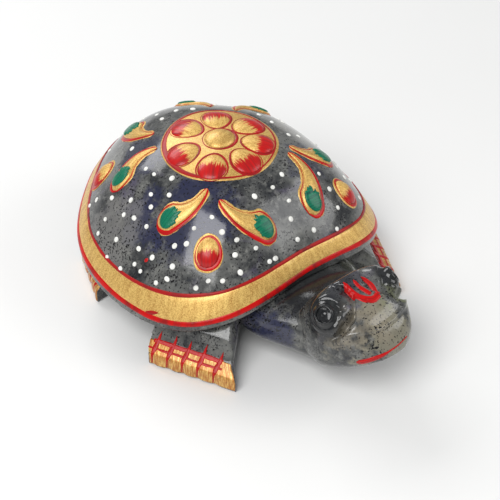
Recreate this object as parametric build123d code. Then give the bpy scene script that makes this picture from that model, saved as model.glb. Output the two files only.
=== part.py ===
from build123d import *
from math import atan2, cos, hypot, pi, radians, sin, sqrt
import os

# A hand-carved stone tortoise, polished, with raised painted ornament.
# Millimetres. The head points to -Y, the tortoise's left side to +X, up is +Z.
# The origin is on the table, under the middle of the outer box.

# Shell: a dome whose plan is nearly round, blunt at the front, with a wavy rim.
SHELL_HALF_WIDTH = 29.6
SHELL_CENTRE_Y = 8.75
PLAN_WAVE_SHARES = (-0.008, -0.053, 0.026)      # sine waves 1, 3 and 5 of the plan
PLAN_CROSS_SHARES = (0.006, -0.013)             # cosine waves 2 and 4 of the plan
RIM_HEIGHT = 12.4
RIM_TIP = -0.1
RIM_SADDLE = 2.0
RIM_CORNER_DIP = 1.1
DOME_RISE = 19.2
DOME_POWER = 2.73
SHELL_LIP = 1.9
SHELL_FRONT_Y = SHELL_CENTRE_Y - SHELL_HALF_WIDTH
SHELL_BACK_Y = SHELL_CENTRE_Y + SHELL_HALF_WIDTH

# Body under the shell
BELLY_HEIGHT = 2.4
BODY_FLANK_HEIGHT = 5.2
BODY_TOP_HEIGHT = 13.0
BELLY_SHARE = 0.56
FLANK_SHARE = 0.78
BODY_TOP_SHARE = 0.86

# Neck: sections along Y, each with its half width, crown and underside
NECK_UNDER_SHELL = 12.85
NECK_REACH = 9.15
NECK_BACK_Y = SHELL_FRONT_Y + NECK_UNDER_SHELL
NECK_FRONT_Y = SHELL_FRONT_Y - NECK_REACH
NECK_HALF_WIDTH = 13.0
NECK_CROWN = 14.0
NECK_UNDER = 2.4
NECK_PLACE_SHARES = (0.0, 0.45, 0.78, 1.0)
NECK_WIDTH_SHARES = (1.0, 1.0, 0.78, 0.60)
NECK_BOXINESS = 3.0

# Head: sections along Y from the back of the head to the snout
HEAD_CLEAR_OF_SHELL = 3.15
HEAD_LENGTH = 18.6
HEAD_BACK_Y = SHELL_FRONT_Y - HEAD_CLEAR_OF_SHELL
SNOUT_Y = HEAD_BACK_Y - HEAD_LENGTH
HEAD_HALF_WIDTH = 9.4
HEAD_CROWN = 21.2
HEAD_UNDER = 3.4
SNOUT_HEIGHT = 12.4
HEAD_PLACE_SHARES = (0.0, 0.2, 0.42, 0.62, 0.80, 0.93, 1.0)
HEAD_WIDTH_SHARES = (0.74, 0.92, 1.0, 0.95, 0.79, 0.56, 0.28)
HEAD_CROWN_SHARES = (0.42, 1.0, 0.93, 0.84, 0.62, 0.35, 0.12)
HEAD_UNDER_SHARES = (0.92, 1.0, 1.0, 0.88, 0.62, 0.36, 0.16)
HEAD_BOXINESS = 3.2
EYE_FROM_SIDE = 1.5
EYE_FROM_BACK = 7.8
EYE_BELOW_CROWN = 2.9
EYE_X = HEAD_HALF_WIDTH - EYE_FROM_SIDE
EYE_Y = HEAD_BACK_Y - EYE_FROM_BACK
EYE_HEIGHT = HEAD_CROWN - EYE_BELOW_CROWN
EYE_RADIUS = 2.3
EYE_FACE_RADIUS = 1.7
EYE_DEPTH = 1.5
EYE_RISE = 1.1
EYE_OUT = 0.78                                  # the way that an eye faces
EYE_FORWARD = 0.28
EYE_UP = 0.56

# Feet: flat paddles, each with a toe edge slanting across a corner of the body
FRONT_TOE_IN = 4.3
FRONT_TOE_BACK = 6.85
FRONT_TOE_X = SHELL_HALF_WIDTH - FRONT_TOE_IN
FRONT_TOE_Y = SHELL_FRONT_Y + FRONT_TOE_BACK
FRONT_TOE_LENGTH = 19.0
FRONT_SPLAY = 26.2
REAR_TOE_IN = 5.2
REAR_TOE_AHEAD = 17.75
REAR_TOE_X = SHELL_HALF_WIDTH - REAR_TOE_IN
REAR_TOE_Y = SHELL_BACK_Y - REAR_TOE_AHEAD
REAR_TOE_LENGTH = 14.0
REAR_SPLAY = -22.0
FOOT_DEPTH = 14.0
FOOT_HEIGHT = 10.6
FOOT_PROFILE_SHARES = (                         # inboard, up
    (0.0, 0.28),
    (0.17, 0.41),
    (0.26, 0.56),
    (0.33, 0.78),
    (0.50, 0.95),
    (1.0, 1.0),
)
FOOT_OUTLINE_SHARES = (                         # inboard, towards the head, towards the tail
    (0.0, 1.0, 0.94),
    (0.05, 0.96, 1.0),
    (0.17, 0.81, 1.03),
    (0.36, 0.64, 1.03),
    (1.0, 0.60, 0.84),
)
FOOT_BELOW = 3.0
SOLE_DEPTH_SHARE = 0.5
SOLE_RISE = 2.2

# Tail
TAIL_UNDER_SHELL = 4.35
TAIL_REACH = 4.05
TAIL_ROOT_Y = SHELL_BACK_Y - TAIL_UNDER_SHELL
TAIL_TIP_Y = SHELL_BACK_Y + TAIL_REACH
TAIL_ROOT_RADIUS = 3.6
TAIL_TIP_RADIUS = 1.2
TAIL_ROOT_HEIGHT = 8.6
TAIL_TIP_HEIGHT = 5.4

# Paint and relief thicknesses
LINE_THICKNESS = 0.26
GOLD_THICKNESS = 0.34
LEAF_THICKNESS = 0.50
RIM_LINE_WIDTH_SHARE = 0.018
BAND_WIDTH_SHARE = 0.086
OUTLINE_WIDTH_SHARE = 0.017
OUTLINE_WIDTH = OUTLINE_WIDTH_SHARE * SHELL_HALF_WIDTH

# Medallion on the crown of the dome
MEDALLION_AHEAD_SHARE = 0.052
MEDALLION_RADIUS_SHARE = 0.392
MEDALLION_Y = SHELL_CENTRE_Y - MEDALLION_AHEAD_SHARE * SHELL_HALF_WIDTH
MEDALLION_RADIUS = MEDALLION_RADIUS_SHARE * SHELL_HALF_WIDTH
RING_INNER_SHARE = 0.91
RING_OUTER_SHARE = 0.974
BOSS_RADIUS_SHARE = 0.276
BOSS_RADIUS = BOSS_RADIUS_SHARE * MEDALLION_RADIUS
BOSS_HEIGHT = 1.1
PETAL_COUNT = 7
PETAL_CIRCLE_SHARE = 0.616
PETAL_LENGTH_SHARE = 0.508
PETAL_WIDTH_SHARE = 0.457
PETAL_TAPER_SHARE = 0.2
PETAL_HEIGHT = 0.9
BEAD_EDGE_SHARE = 0.45
BEVEL_SHARE = 0.6
BEAD_ROOT = 0.6
PETAL_OUTLINE_SHARE = 0.034
PETAL_BASE_THICKNESS = 0.2

# Leaves and drops: one group of three over each foot
GROUP_AHEAD_SHARE = 0.029
GROUP_Y = SHELL_CENTRE_Y - GROUP_AHEAD_SHARE * SHELL_HALF_WIDTH
SIDE_BULB_SHARES = (0.581, 0.264)               # across, and out from the group's middle
SIDE_TAIL_SHARES = (0.331, 0.304)
END_BULB_SHARES = (0.199, 0.639)
END_TAIL_SHARES = (0.318, 0.426)
LEAF_BULB_SHARE = 0.078
LEAF_BULB_RADIUS = LEAF_BULB_SHARE * SHELL_HALF_WIDTH
LEAF_BOW_SHARE = 0.16
LEAF_TAIL_SHARE = 0.14
BULB_HEIGHT = 0.5
BULB_CAP_SHARE = 0.78
FRONT_DROP_SHARES = (0.547, 0.551)
REAR_DROP_SHARES = (0.534, 0.500)
DROP_SIZE_SHARES = (0.159, 0.176)
DROP_TAPER_SHARE = 0.1
DROP_HEIGHT = 1.2

# Foot gilding and its red lattice
GILD_DEPTH = 2.6
GILD_CLEAR_OF_SOLE = 0.5
LATTICE_LINE_WIDTH = 0.6
LATTICE_DEPTHS = (1.0, 2.2)
FRONT_STROKE_REACH = 3.9
REAR_STROKE_REACH = 2.9
LATTICE_END = 1.0
FRONT_STROKE_PLACES = (-8.0, -4.8, -1.7, 1.5, 4.9)
REAR_STROKE_PLACES = (-4.6, -1.5, 1.6, 4.7)

# Marks on the head
MARK_FROM_BACK = 4.6
MARK_LENGTH = 6.0
MARK_BACK_Y = HEAD_BACK_Y - MARK_FROM_BACK
MARK_FRONT_Y = MARK_BACK_Y - MARK_LENGTH
MARK_HALF_WIDTH = 2.5
MARK_LINE_WIDTH = 0.9
MOUTH_HEIGHT = 7.2
MOUTH_HALF_WIDTH = 4.6
MOUTH_LINE_WIDTH = 1.0

OVERRUN = 6.0
TABLE_SIZE = 120.0
GRID_STEPS = 18
SHEET_REACH_SHARE = 1.12
PLAN_STEPS = 40
DISC_SIDES = 28
OVAL_STEPS = 14
LEAF_STEPS = 5
TAIL_SIDES = 8
EYE_SIDES = 16
LEAF_FALL = 0.8
SECTION_STEPS = 16
SLOPE_STEP = 0.03


def plan_radius(angle):
    wave = sum(
        share * sin((2 * number + 1) * angle)
        for number, share in enumerate(PLAN_WAVE_SHARES)
    )
    cross = sum(
        share * cos((2 * number + 2) * angle)
        for number, share in enumerate(PLAN_CROSS_SHARES)
    )
    return SHELL_HALF_WIDTH * (1 + wave + cross)


def plan_point(angle, share=1.0):
    reach = share * plan_radius(angle)
    return (reach * cos(angle), SHELL_CENTRE_Y + reach * sin(angle))


def plan_share(x, y):
    across = y - SHELL_CENTRE_Y
    return hypot(x, across) / plan_radius(atan2(across, x))


def rim_level(x, y):
    u = x / SHELL_HALF_WIDTH
    v = (y - SHELL_CENTRE_Y) / SHELL_HALF_WIDTH
    saddle = -RIM_SADDLE * (u * u - v * v)
    corner = RIM_CORNER_DIP * (3 * u * u * v - v ** 3)
    return RIM_HEIGHT + RIM_TIP * v + saddle + corner


def dome_level(x, y):
    return rim_level(x, y) + DOME_RISE * (1 - plan_share(x, y) ** DOME_POWER)


def dome_normal(x, y):
    step = SLOPE_STEP
    slope_x = (dome_level(x + step, y) - dome_level(x - step, y)) / (2 * step)
    slope_y = (dome_level(x, y + step) - dome_level(x, y - step)) / (2 * step)
    return Vector(-slope_x, -slope_y, 1).normalized()


def dome_point(x, y, lift=0.0):
    return Vector(x, y, dome_level(x, y)) + dome_normal(x, y) * lift


def dome_sheet(point_at):
    """A spline sheet over the whole plan and a little beyond."""
    reach = SHEET_REACH_SHARE * SHELL_HALF_WIDTH
    rows = []
    for row in range(GRID_STEPS + 1):
        y = SHELL_CENTRE_Y + reach * (2 * row / GRID_STEPS - 1)
        rows.append([
            point_at(reach * (2 * column / GRID_STEPS - 1), y)
            for column in range(GRID_STEPS + 1)
        ])
    return Face.make_surface_from_array_of_points(rows)


def rim_point(x, y):
    return Vector(x, y, rim_level(x, y) - SHELL_LIP)


def below(sheet):
    """Everything under a sheet, down to well below the table."""
    return extrude(sheet, amount=-(RIM_HEIGHT + DOME_RISE + OVERRUN), dir=(0, 0, 1))


UNDER_DOME = {}


def under_dome(lift):
    if lift not in UNDER_DOME:
        UNDER_DOME[lift] = below(dome_sheet(lambda x, y: dome_point(x, y, lift)))
    return UNDER_DOME[lift]


def column(outline):
    """An outline in plan, drawn up through the whole height."""
    return extrude(outline, amount=RIM_HEIGHT + DOME_RISE + 2 * OVERRUN)


def on_dome(outline, lift, top):
    """The part of an outline's column between two layers over the dome."""
    return (column(outline) & under_dome(top)) - under_dome(lift)


def closed(points):
    """A face with straight sides: facets this short look round, and mesh lightly."""
    return make_face(Polyline(*points, close=True))


def plan_face(share):
    return closed([
        plan_point(2 * pi * step / PLAN_STEPS, share) for step in range(PLAN_STEPS)
    ])


def disc(radius):
    return Pos(0, MEDALLION_Y) * RegularPolygon(radius, DISC_SIDES)


def oval(centre, turn, length, width, taper, grow=0.0):
    """Points of an egg outline: its length turned to an angle, its narrow end far."""
    points = []
    for step in range(OVAL_STEPS):
        angle = 2 * pi * step / OVAL_STEPS
        along = (length / 2 + grow) * cos(angle)
        across = (width / 2 + grow) * sin(angle) * (1 + taper * cos(angle))
        points.append((
            centre[0] + along * cos(turn) - across * sin(turn),
            centre[1] + along * sin(turn) + across * cos(turn),
        ))
    return points


def paisley(bulb, tail, bow, grow=0.0):
    """A round bulb that narrows along a bowed line to a thin tail."""
    reach_x = tail[0] - bulb[0]
    reach_y = tail[1] - bulb[1]
    length = hypot(reach_x, reach_y)
    along_x = reach_x / length
    along_y = reach_y / length
    left = []
    right = []
    for step in range(LEAF_STEPS + 1):
        t = step / LEAF_STEPS
        radius = LEAF_BULB_RADIUS * (1 - (1 - LEAF_TAIL_SHARE) * t ** LEAF_FALL) + grow
        bowed = 4 * bow * length * t * (1 - t)
        slope = 4 * bow * (1 - 2 * t)
        lean = sqrt(1 + slope * slope)
        x = bulb[0] + reach_x * t - along_y * bowed
        y = bulb[1] + reach_y * t + along_x * bowed
        side_x = (-along_y - slope * along_x) / lean
        side_y = (along_x - slope * along_y) / lean
        left.append((x + side_x * radius, y + side_y * radius))
        right.append((x - side_x * radius, y - side_y * radius))
    bulb_slope = 4 * bow
    bulb_lean = sqrt(1 + bulb_slope * bulb_slope)
    bulb_reach = (LEAF_BULB_RADIUS + grow) / bulb_lean
    bulb_end = (
        bulb[0] - (along_x - bulb_slope * along_y) * bulb_reach,
        bulb[1] - (along_y + bulb_slope * along_x) * bulb_reach,
    )
    tail_reach = LEAF_BULB_RADIUS * LEAF_TAIL_SHARE + grow
    tail_end = (
        tail[0] + (along_x + bulb_slope * along_y) * tail_reach / bulb_lean,
        tail[1] + (along_y - bulb_slope * along_x) * tail_reach / bulb_lean,
    )
    return closed([bulb_end] + left + [tail_end] + right[::-1])


def tablet(points, centre, height, lift):
    """A bead of paint with a bevelled edge, standing on a layer over the dome."""
    normal = dome_normal(*centre)
    seat = Plane(origin=dome_point(*centre), z_dir=normal)
    outline = []
    for x, y in points:
        place = seat.to_local_coords(dome_point(x, y))
        outline.append((place.X, place.Y))
    shrunk = [(x * BEVEL_SHARE, y * BEVEL_SHARE) for x, y in outline]
    edge = lift + height * BEAD_EDGE_SHARE
    levels = [
        seat * (Pos(0, 0, -BEAD_ROOT) * closed(outline)),
        seat * (Pos(0, 0, edge) * closed(outline)),
        seat * (Pos(0, 0, lift + height) * closed(shrunk)),
    ]
    return loft(levels, ruled=True) - under_dome(lift)


def section(plane, half_width, low, high, boxiness):
    """A soft box in a plane whose second direction is upwards."""
    middle = (low + high) / 2
    half_height = (high - low) / 2
    points = []
    for step in range(SECTION_STEPS):
        angle = 2 * pi * (step + 0.5) / SECTION_STEPS
        across = abs(cos(angle)) ** (2 / boxiness)
        up = abs(sin(angle)) ** (2 / boxiness)
        points.append((
            half_width * (across if cos(angle) > 0 else -across),
            middle + half_height * (up if sin(angle) > 0 else -up),
        ))
    return plane * closed(points)


def across_body(y):
    return Plane(origin=(0, y, 0), x_dir=(1, 0, 0), z_dir=(0, -1, 0))


def neck_solid():
    sections = []
    for place, width in zip(NECK_PLACE_SHARES, NECK_WIDTH_SHARES):
        y = NECK_BACK_Y + place * (NECK_FRONT_Y - NECK_BACK_Y)
        half_width = width * NECK_HALF_WIDTH
        sections.append(
            section(across_body(y), half_width, NECK_UNDER, NECK_CROWN, NECK_BOXINESS)
        )
    return loft(sections, ruled=True)


def head_solid(grow=0.0):
    sections = []
    front = SNOUT_Y - grow
    rows = zip(HEAD_PLACE_SHARES, HEAD_WIDTH_SHARES, HEAD_CROWN_SHARES, HEAD_UNDER_SHARES)
    for place, width, crown, under in rows:
        y = HEAD_BACK_Y + place * (front - HEAD_BACK_Y)
        half_width = width * HEAD_HALF_WIDTH + grow
        high = SNOUT_HEIGHT + crown * (HEAD_CROWN - SNOUT_HEIGHT) + grow
        low = SNOUT_HEIGHT - under * (SNOUT_HEIGHT - HEAD_UNDER) - grow
        sections.append(section(across_body(y), half_width, low, high, HEAD_BOXINESS))
    return loft(sections, ruled=True)


def foot_plane(side, toe_x, toe_y, splay):
    """Origin at the middle of the toe edge: X along the toes, Z outwards."""
    turn = radians(splay)
    outward = (side * cos(turn), -sin(turn), 0)
    along = (side * sin(turn), cos(turn), 0)
    return Plane(origin=(side * toe_x, toe_y, 0), x_dir=along, z_dir=outward)


def foot_profile(plane, grow):
    """The foot seen along its toes: a face from the toe edge to the ankle."""
    points = []
    for depth, height in FOOT_PROFILE_SHARES:
        inboard = depth * FOOT_DEPTH - grow
        level = height * FOOT_HEIGHT + grow
        points.append(plane.origin - plane.z_dir * inboard + Vector(0, 0, level))
    down = Vector(0, 0, -FOOT_BELOW)
    toe = plane.origin + plane.z_dir * grow + down
    root = plane.origin - plane.z_dir * (FOOT_DEPTH - grow) + down
    return closed(points + [root, toe])


def foot_solid(plane, toe_length, front, grow=0.0):
    """The foot's profile drawn along the toes, trimmed to its outline in plan."""
    outline = []
    for depth, front_share, back_share in FOOT_OUTLINE_SHARES:
        inboard = plane.z_dir * (depth * FOOT_DEPTH - grow)
        half = toe_length / 2
        front_end = plane.x_dir * (front * (front_share * half + grow))
        back_end = plane.x_dir * (front * (back_share * half + grow))
        outline.insert(0, plane.origin - inboard + front_end)
        outline.append(plane.origin - inboard - back_end)
    floor = Vector(0, 0, -FOOT_BELOW)
    plan = make_face(Polyline(*[point + floor for point in outline], close=True))
    pillar = extrude(plan, amount=FOOT_BELOW + FOOT_HEIGHT + OVERRUN, dir=(0, 0, 1))
    reach = toe_length / 2 + OVERRUN
    bar = extrude(foot_profile(plane, grow), amount=reach, dir=plane.x_dir, both=True)
    return bar & pillar


def below_table():
    return Pos(0, 0, -TABLE_SIZE / 2) * Box(TABLE_SIZE, TABLE_SIZE, TABLE_SIZE)


def foot_cut(plane, toe_length):
    """The wedge of air under the inboard half of a foot."""
    start = plane.origin - plane.z_dir * (SOLE_DEPTH_SHARE * FOOT_DEPTH)
    finish = plane.origin - plane.z_dir * (FOOT_DEPTH + OVERRUN)
    wedge = make_face(Polyline(
        start,
        finish,
        finish + Vector(0, 0, SOLE_RISE),
        close=True,
    ))
    both_ways = toe_length / 2 + OVERRUN
    return extrude(wedge, amount=both_ways, dir=plane.x_dir, both=True)


def slab(plane, along, depth, low, high):
    """A block on a foot's own axes: along the toes, inboard, and upwards."""
    size = (along[1] - along[0], depth[1] - depth[0], high - low)
    middle = plane.origin
    middle = middle + plane.x_dir * ((along[0] + along[1]) / 2)
    middle = middle - plane.z_dir * ((depth[0] + depth[1]) / 2)
    middle = middle + Vector(0, 0, (low + high) / 2)
    upright = Plane(origin=middle, x_dir=plane.x_dir, z_dir=(0, 0, 1))
    return upright * Box(*size)


def plan_ring(outer, inner, top):
    """A band of paint between two shares of the plan, made a quarter at a time."""
    ring = column(plan_face(outer)) - column(plan_face(inner))
    quarters = []
    for side in (-1, 1):
        for end in (-1, 1):
            corner = (side * TABLE_SIZE / 2, SHELL_CENTRE_Y + end * TABLE_SIZE / 2, 0)
            quarter = ring & (Pos(*corner) * Box(TABLE_SIZE, TABLE_SIZE, TABLE_SIZE))
            quarters.append((quarter & under_dome(top)) - under_dome(0))
    return quarters[0].fuse(*quarters[1:])


def foot_frames():
    """Each foot's name, its axes, its toe length and which way along it is front."""
    frames = []
    for side, side_name in ((-1, "right"), (1, "left")):
        front = foot_plane(side, FRONT_TOE_X, FRONT_TOE_Y, FRONT_SPLAY)
        rear = foot_plane(side, REAR_TOE_X, REAR_TOE_Y, REAR_SPLAY)
        strokes = (FRONT_STROKE_PLACES, FRONT_STROKE_REACH)
        frames.append(("front_" + side_name, front, FRONT_TOE_LENGTH, strokes))
        strokes = (REAR_STROKE_PLACES, REAR_STROKE_REACH)
        frames.append(("rear_" + side_name, rear, REAR_TOE_LENGTH, strokes))
    return frames


def trunk_solid():
    rows = (
        (BELLY_HEIGHT, BELLY_SHARE),
        (BODY_FLANK_HEIGHT, FLANK_SHARE),
        (BODY_TOP_HEIGHT, BODY_TOP_SHARE),
    )
    levels = [Pos(0, 0, height) * plan_face(share) for height, share in rows]
    return loft(levels, ruled=True)


def tail_solid():
    along = Vector(0, TAIL_TIP_Y - TAIL_ROOT_Y, TAIL_TIP_HEIGHT - TAIL_ROOT_HEIGHT)
    root = Plane(origin=(0, TAIL_ROOT_Y, TAIL_ROOT_HEIGHT), z_dir=along)
    tip = Plane(origin=(0, TAIL_TIP_Y, TAIL_TIP_HEIGHT), z_dir=along)
    ends = [
        root * RegularPolygon(TAIL_ROOT_RADIUS, TAIL_SIDES),
        tip * RegularPolygon(TAIL_TIP_RADIUS, TAIL_SIDES),
    ]
    return loft(ends, ruled=True)


def eye(side):
    """A turned button on the upper corner of the head, facing out, up and forward."""
    looking = Vector(side * EYE_OUT, -EYE_FORWARD, EYE_UP)
    middle = Vector(side * EYE_X, EYE_Y, EYE_HEIGHT)
    seat = Plane(origin=middle, z_dir=looking)
    levels = [
        seat * (Pos(0, 0, -EYE_DEPTH) * RegularPolygon(EYE_RADIUS, EYE_SIDES)),
        seat * RegularPolygon(EYE_RADIUS, EYE_SIDES),
        seat * (Pos(0, 0, EYE_RISE) * RegularPolygon(EYE_FACE_RADIUS, EYE_SIDES)),
    ]
    return loft(levels, ruled=True)


def carved_stone(frames):
    """The tortoise itself: one piece of stone."""
    low = trunk_solid() + [neck_solid(), tail_solid()]
    for name, plane, toe_length, strokes in frames:
        foot = foot_solid(plane, toe_length, front_sign(plane))
        low = low + (foot - below_table() - foot_cut(plane, toe_length))
    low = low + head_solid()
    shell = (column(plan_face(1.0)) & under_dome(0)) - below(dome_sheet(rim_point))
    return (low + shell) + [eye(side) for side in (-1, 1)]


def front_sign(plane):
    """Which way along the toes the head lies."""
    return -1 if plane.x_dir.Y > 0 else 1


def gilding(plane, toe_length):
    """A thin coat of gold over the toe edge of a foot."""
    raw = foot_solid(plane, toe_length, front_sign(plane))
    coat = foot_solid(plane, toe_length, front_sign(plane), LINE_THICKNESS)
    both_ways = toe_length / 2 + OVERRUN
    zone = slab(
        plane,
        (-both_ways, both_ways),
        (-OVERRUN, GILD_DEPTH),
        GILD_CLEAR_OF_SOLE,
        FOOT_HEIGHT,
    )
    return (coat & zone) - raw


def lattice(plane, toe_length, strokes, gold):
    """Red strokes over the toes, and two long lines across them."""
    places, stroke_reach = strokes
    raw = foot_solid(plane, toe_length, front_sign(plane))
    coat = foot_solid(plane, toe_length, front_sign(plane), LINE_THICKNESS + LINE_THICKNESS)
    half_line = LATTICE_LINE_WIDTH / 2
    both_ways = toe_length / 2 + OVERRUN
    bars = []
    for place in places:
        middle = place * front_sign(plane)
        bars.append(slab(
            plane,
            (middle - half_line, middle + half_line),
            (-OVERRUN, stroke_reach),
            GILD_CLEAR_OF_SOLE,
            FOOT_HEIGHT,
        ))
    ends = (min(places) - LATTICE_END, max(places) + LATTICE_END)
    if front_sign(plane) < 0:
        ends = (-ends[1], -ends[0])
    for depth in LATTICE_DEPTHS:
        bars.append(slab(
            plane,
            ends,
            (depth - half_line, depth + half_line),
            GILD_CLEAR_OF_SOLE,
            FOOT_HEIGHT,
        ))
    net = bars[0] + bars[1:]
    return (coat & net) - raw - gold


def head_coat():
    """A skin of paint over the whole head, for the marks to be cut from."""
    return head_solid(LINE_THICKNESS) - head_solid()


def stroke(start, finish, width):
    """A straight painted stroke in plan, with square ends."""
    along = Vector(finish[0] - start[0], finish[1] - start[1], 0)
    line = Plane(origin=(start[0], start[1], 0), x_dir=along, z_dir=(0, 0, 1))
    return line * (Pos(along.length / 2, 0) * Rectangle(along.length + width, width))


def forehead_mark(coat):
    """Three strokes down the forehead that meet a curved one at their foot."""
    base = (0.0, MARK_FRONT_Y)
    strokes = [
        stroke((side * MARK_HALF_WIDTH, MARK_BACK_Y), base, MARK_LINE_WIDTH)
        for side in (-1, 1)
    ]
    strokes.append(stroke((0.0, MARK_BACK_Y), base, MARK_LINE_WIDTH))
    mark = Pos(0, 0, SNOUT_HEIGHT) * (strokes[0] + strokes[1:])
    return extrude(mark, amount=HEAD_CROWN, dir=(0, 0, 1)) & coat


def mouth_line(coat):
    """The part of the coat in front of the jaw, in a band at mouth height."""
    zone = Box(MOUTH_HALF_WIDTH + MOUTH_HALF_WIDTH, HEAD_CROWN, MOUTH_LINE_WIDTH)
    return coat & (Pos(0, SNOUT_Y, MOUTH_HEIGHT) * zone)


def medallion():
    pieces = {}
    top = GOLD_THICKNESS + LINE_THICKNESS
    pieces["medallion_gold_disc"] = on_dome(disc(MEDALLION_RADIUS), 0, GOLD_THICKNESS)
    ring = disc(RING_OUTER_SHARE * MEDALLION_RADIUS) - disc(RING_INNER_SHARE * MEDALLION_RADIUS)
    pieces["medallion_red_ring"] = on_dome(ring, GOLD_THICKNESS, top)
    base_top = GOLD_THICKNESS + PETAL_BASE_THICKNESS
    outline_width = PETAL_OUTLINE_SHARE * MEDALLION_RADIUS
    margin = disc(BOSS_RADIUS + outline_width)
    boss_base = on_dome(margin, GOLD_THICKNESS, base_top)
    pieces["medallion_boss_outline"] = boss_base
    centre = (0.0, MEDALLION_Y)
    boss = oval(centre, 0, BOSS_RADIUS + BOSS_RADIUS, BOSS_RADIUS + BOSS_RADIUS, 0)
    pieces["medallion_boss"] = tablet(boss, centre, BOSS_HEIGHT, base_top)
    outlines = []
    for number in range(PETAL_COUNT):
        turn = -pi / 2 + 2 * pi * number / PETAL_COUNT
        reach = PETAL_CIRCLE_SHARE * MEDALLION_RADIUS
        centre = (reach * cos(turn), MEDALLION_Y + reach * sin(turn))
        size = (
            PETAL_LENGTH_SHARE * MEDALLION_RADIUS,
            PETAL_WIDTH_SHARE * MEDALLION_RADIUS,
            PETAL_TAPER_SHARE,
        )
        outline = closed(oval(centre, turn, *size, outline_width))
        outlines.append(on_dome(outline, GOLD_THICKNESS, base_top))
        petal = tablet(oval(centre, turn, *size), centre, PETAL_HEIGHT, base_top)
        pieces["petal_" + str(number + 1)] = petal
    pieces["petal_outlines"] = Compound(outlines)
    return pieces


def leaf(name, bulb, tail, bow):
    top = LINE_THICKNESS + LEAF_THICKNESS
    across = 2 * BULB_CAP_SHARE * LEAF_BULB_RADIUS
    round_end = oval(bulb, 0, across, across, 0)
    return {
        name + "_outline": on_dome(paisley(bulb, tail, bow, OUTLINE_WIDTH), 0, LINE_THICKNESS),
        name: on_dome(paisley(bulb, tail, bow), LINE_THICKNESS, top),
        name + "_bulb": tablet(round_end, bulb, BULB_HEIGHT, top),
    }


def drop(name, centre, turn):
    length, width = DROP_SIZE_SHARES
    size = (length * SHELL_HALF_WIDTH, width * SHELL_HALF_WIDTH, DROP_TAPER_SHARE)
    outline = closed(oval(centre, turn, *size, OUTLINE_WIDTH))
    return {
        name + "_outline": on_dome(outline, 0, LINE_THICKNESS),
        name: tablet(oval(centre, turn, *size), centre, DROP_HEIGHT, LINE_THICKNESS),
    }


def in_group(side, end, shares):
    """A place in one corner of the shell, from its shares of the half width."""
    across, out = shares
    return (
        side * across * SHELL_HALF_WIDTH,
        GROUP_Y + end * out * SHELL_HALF_WIDTH,
    )


def sprays():
    """Two leaves and a drop over each foot, mirrored from one corner."""
    pieces = {}
    ends = ((-1, "front", FRONT_DROP_SHARES), (1, "rear", REAR_DROP_SHARES))
    for side, side_name in ((-1, "right"), (1, "left")):
        for end, end_name, drop_shares in ends:
            corner = end_name + "_" + side_name
            bow = side * end * LEAF_BOW_SHARE
            bulb = in_group(side, end, SIDE_BULB_SHARES)
            tail = in_group(side, end, SIDE_TAIL_SHARES)
            pieces.update(leaf("side_leaf_" + corner, bulb, tail, -bow))
            bulb = in_group(side, end, END_BULB_SHARES)
            tail = in_group(side, end, END_TAIL_SHARES)
            pieces.update(leaf("end_leaf_" + corner, bulb, tail, bow))
            centre = in_group(side, end, drop_shares)
            turn = atan2(centre[1] - SHELL_CENTRE_Y, centre[0])
            pieces.update(drop("drop_" + corner, centre, turn))
    return pieces


os.makedirs("parts", exist_ok=True)
frames = foot_frames()
nodes = {"carved_stone": carved_stone(frames)}

band_outer = 1 - RIM_LINE_WIDTH_SHARE
band_inner = band_outer - BAND_WIDTH_SHARE
nodes["rim_lower_line"] = plan_ring(1.0, band_outer, GOLD_THICKNESS)
nodes["rim_gold_band"] = plan_ring(band_outer, band_inner, GOLD_THICKNESS)
upper_inner = band_inner - RIM_LINE_WIDTH_SHARE
nodes["rim_upper_line"] = plan_ring(band_inner, upper_inner, GOLD_THICKNESS)

nodes.update(medallion())
nodes.update(sprays())

for name, plane, toe_length, strokes in frames:
    gold = gilding(plane, toe_length)
    nodes["gilding_" + name] = gold
    nodes["toe_lines_" + name] = lattice(plane, toe_length, strokes, gold)

coat = head_coat()
nodes["forehead_mark"] = forehead_mark(coat)
nodes["mouth_line"] = mouth_line(coat)

for name, solid in nodes.items():
    export_step(solid, "parts/" + name + ".step")
print(len(nodes), "nodes")
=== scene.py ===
# %% [markdown]
# # A carved stone tortoise, dressed in paint
# A small tortoise carved from one lump of speckled grey stone, polished, and
# then painted by hand: a gold rim between two red lines, a flower on the crown
# of the shell, leaves and drops round it, white dots, and gilded toes. The CAD
# model gives the frame and the outer sizes. This file gives the stone and the paint.

# %% Load the frame
from math import atan2, copysign, cos, pi, radians, sin, sqrt
import bpy
import numpy as np
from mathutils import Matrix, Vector
from mathutils.bvhtree import BVHTree


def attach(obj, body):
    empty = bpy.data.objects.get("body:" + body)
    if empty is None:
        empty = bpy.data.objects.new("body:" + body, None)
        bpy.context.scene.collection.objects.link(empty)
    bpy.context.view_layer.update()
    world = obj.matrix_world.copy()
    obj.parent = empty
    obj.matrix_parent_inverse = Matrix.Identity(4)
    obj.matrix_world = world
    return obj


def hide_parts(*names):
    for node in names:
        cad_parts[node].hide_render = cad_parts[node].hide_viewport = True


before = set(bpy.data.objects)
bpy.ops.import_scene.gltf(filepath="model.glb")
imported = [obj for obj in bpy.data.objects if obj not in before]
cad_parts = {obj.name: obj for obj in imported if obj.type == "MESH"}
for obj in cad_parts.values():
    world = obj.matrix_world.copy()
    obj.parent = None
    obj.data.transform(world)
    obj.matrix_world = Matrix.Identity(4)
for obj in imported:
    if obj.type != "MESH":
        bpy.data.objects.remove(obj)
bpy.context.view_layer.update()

MM = 0.001
scene = bpy.context.scene

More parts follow.
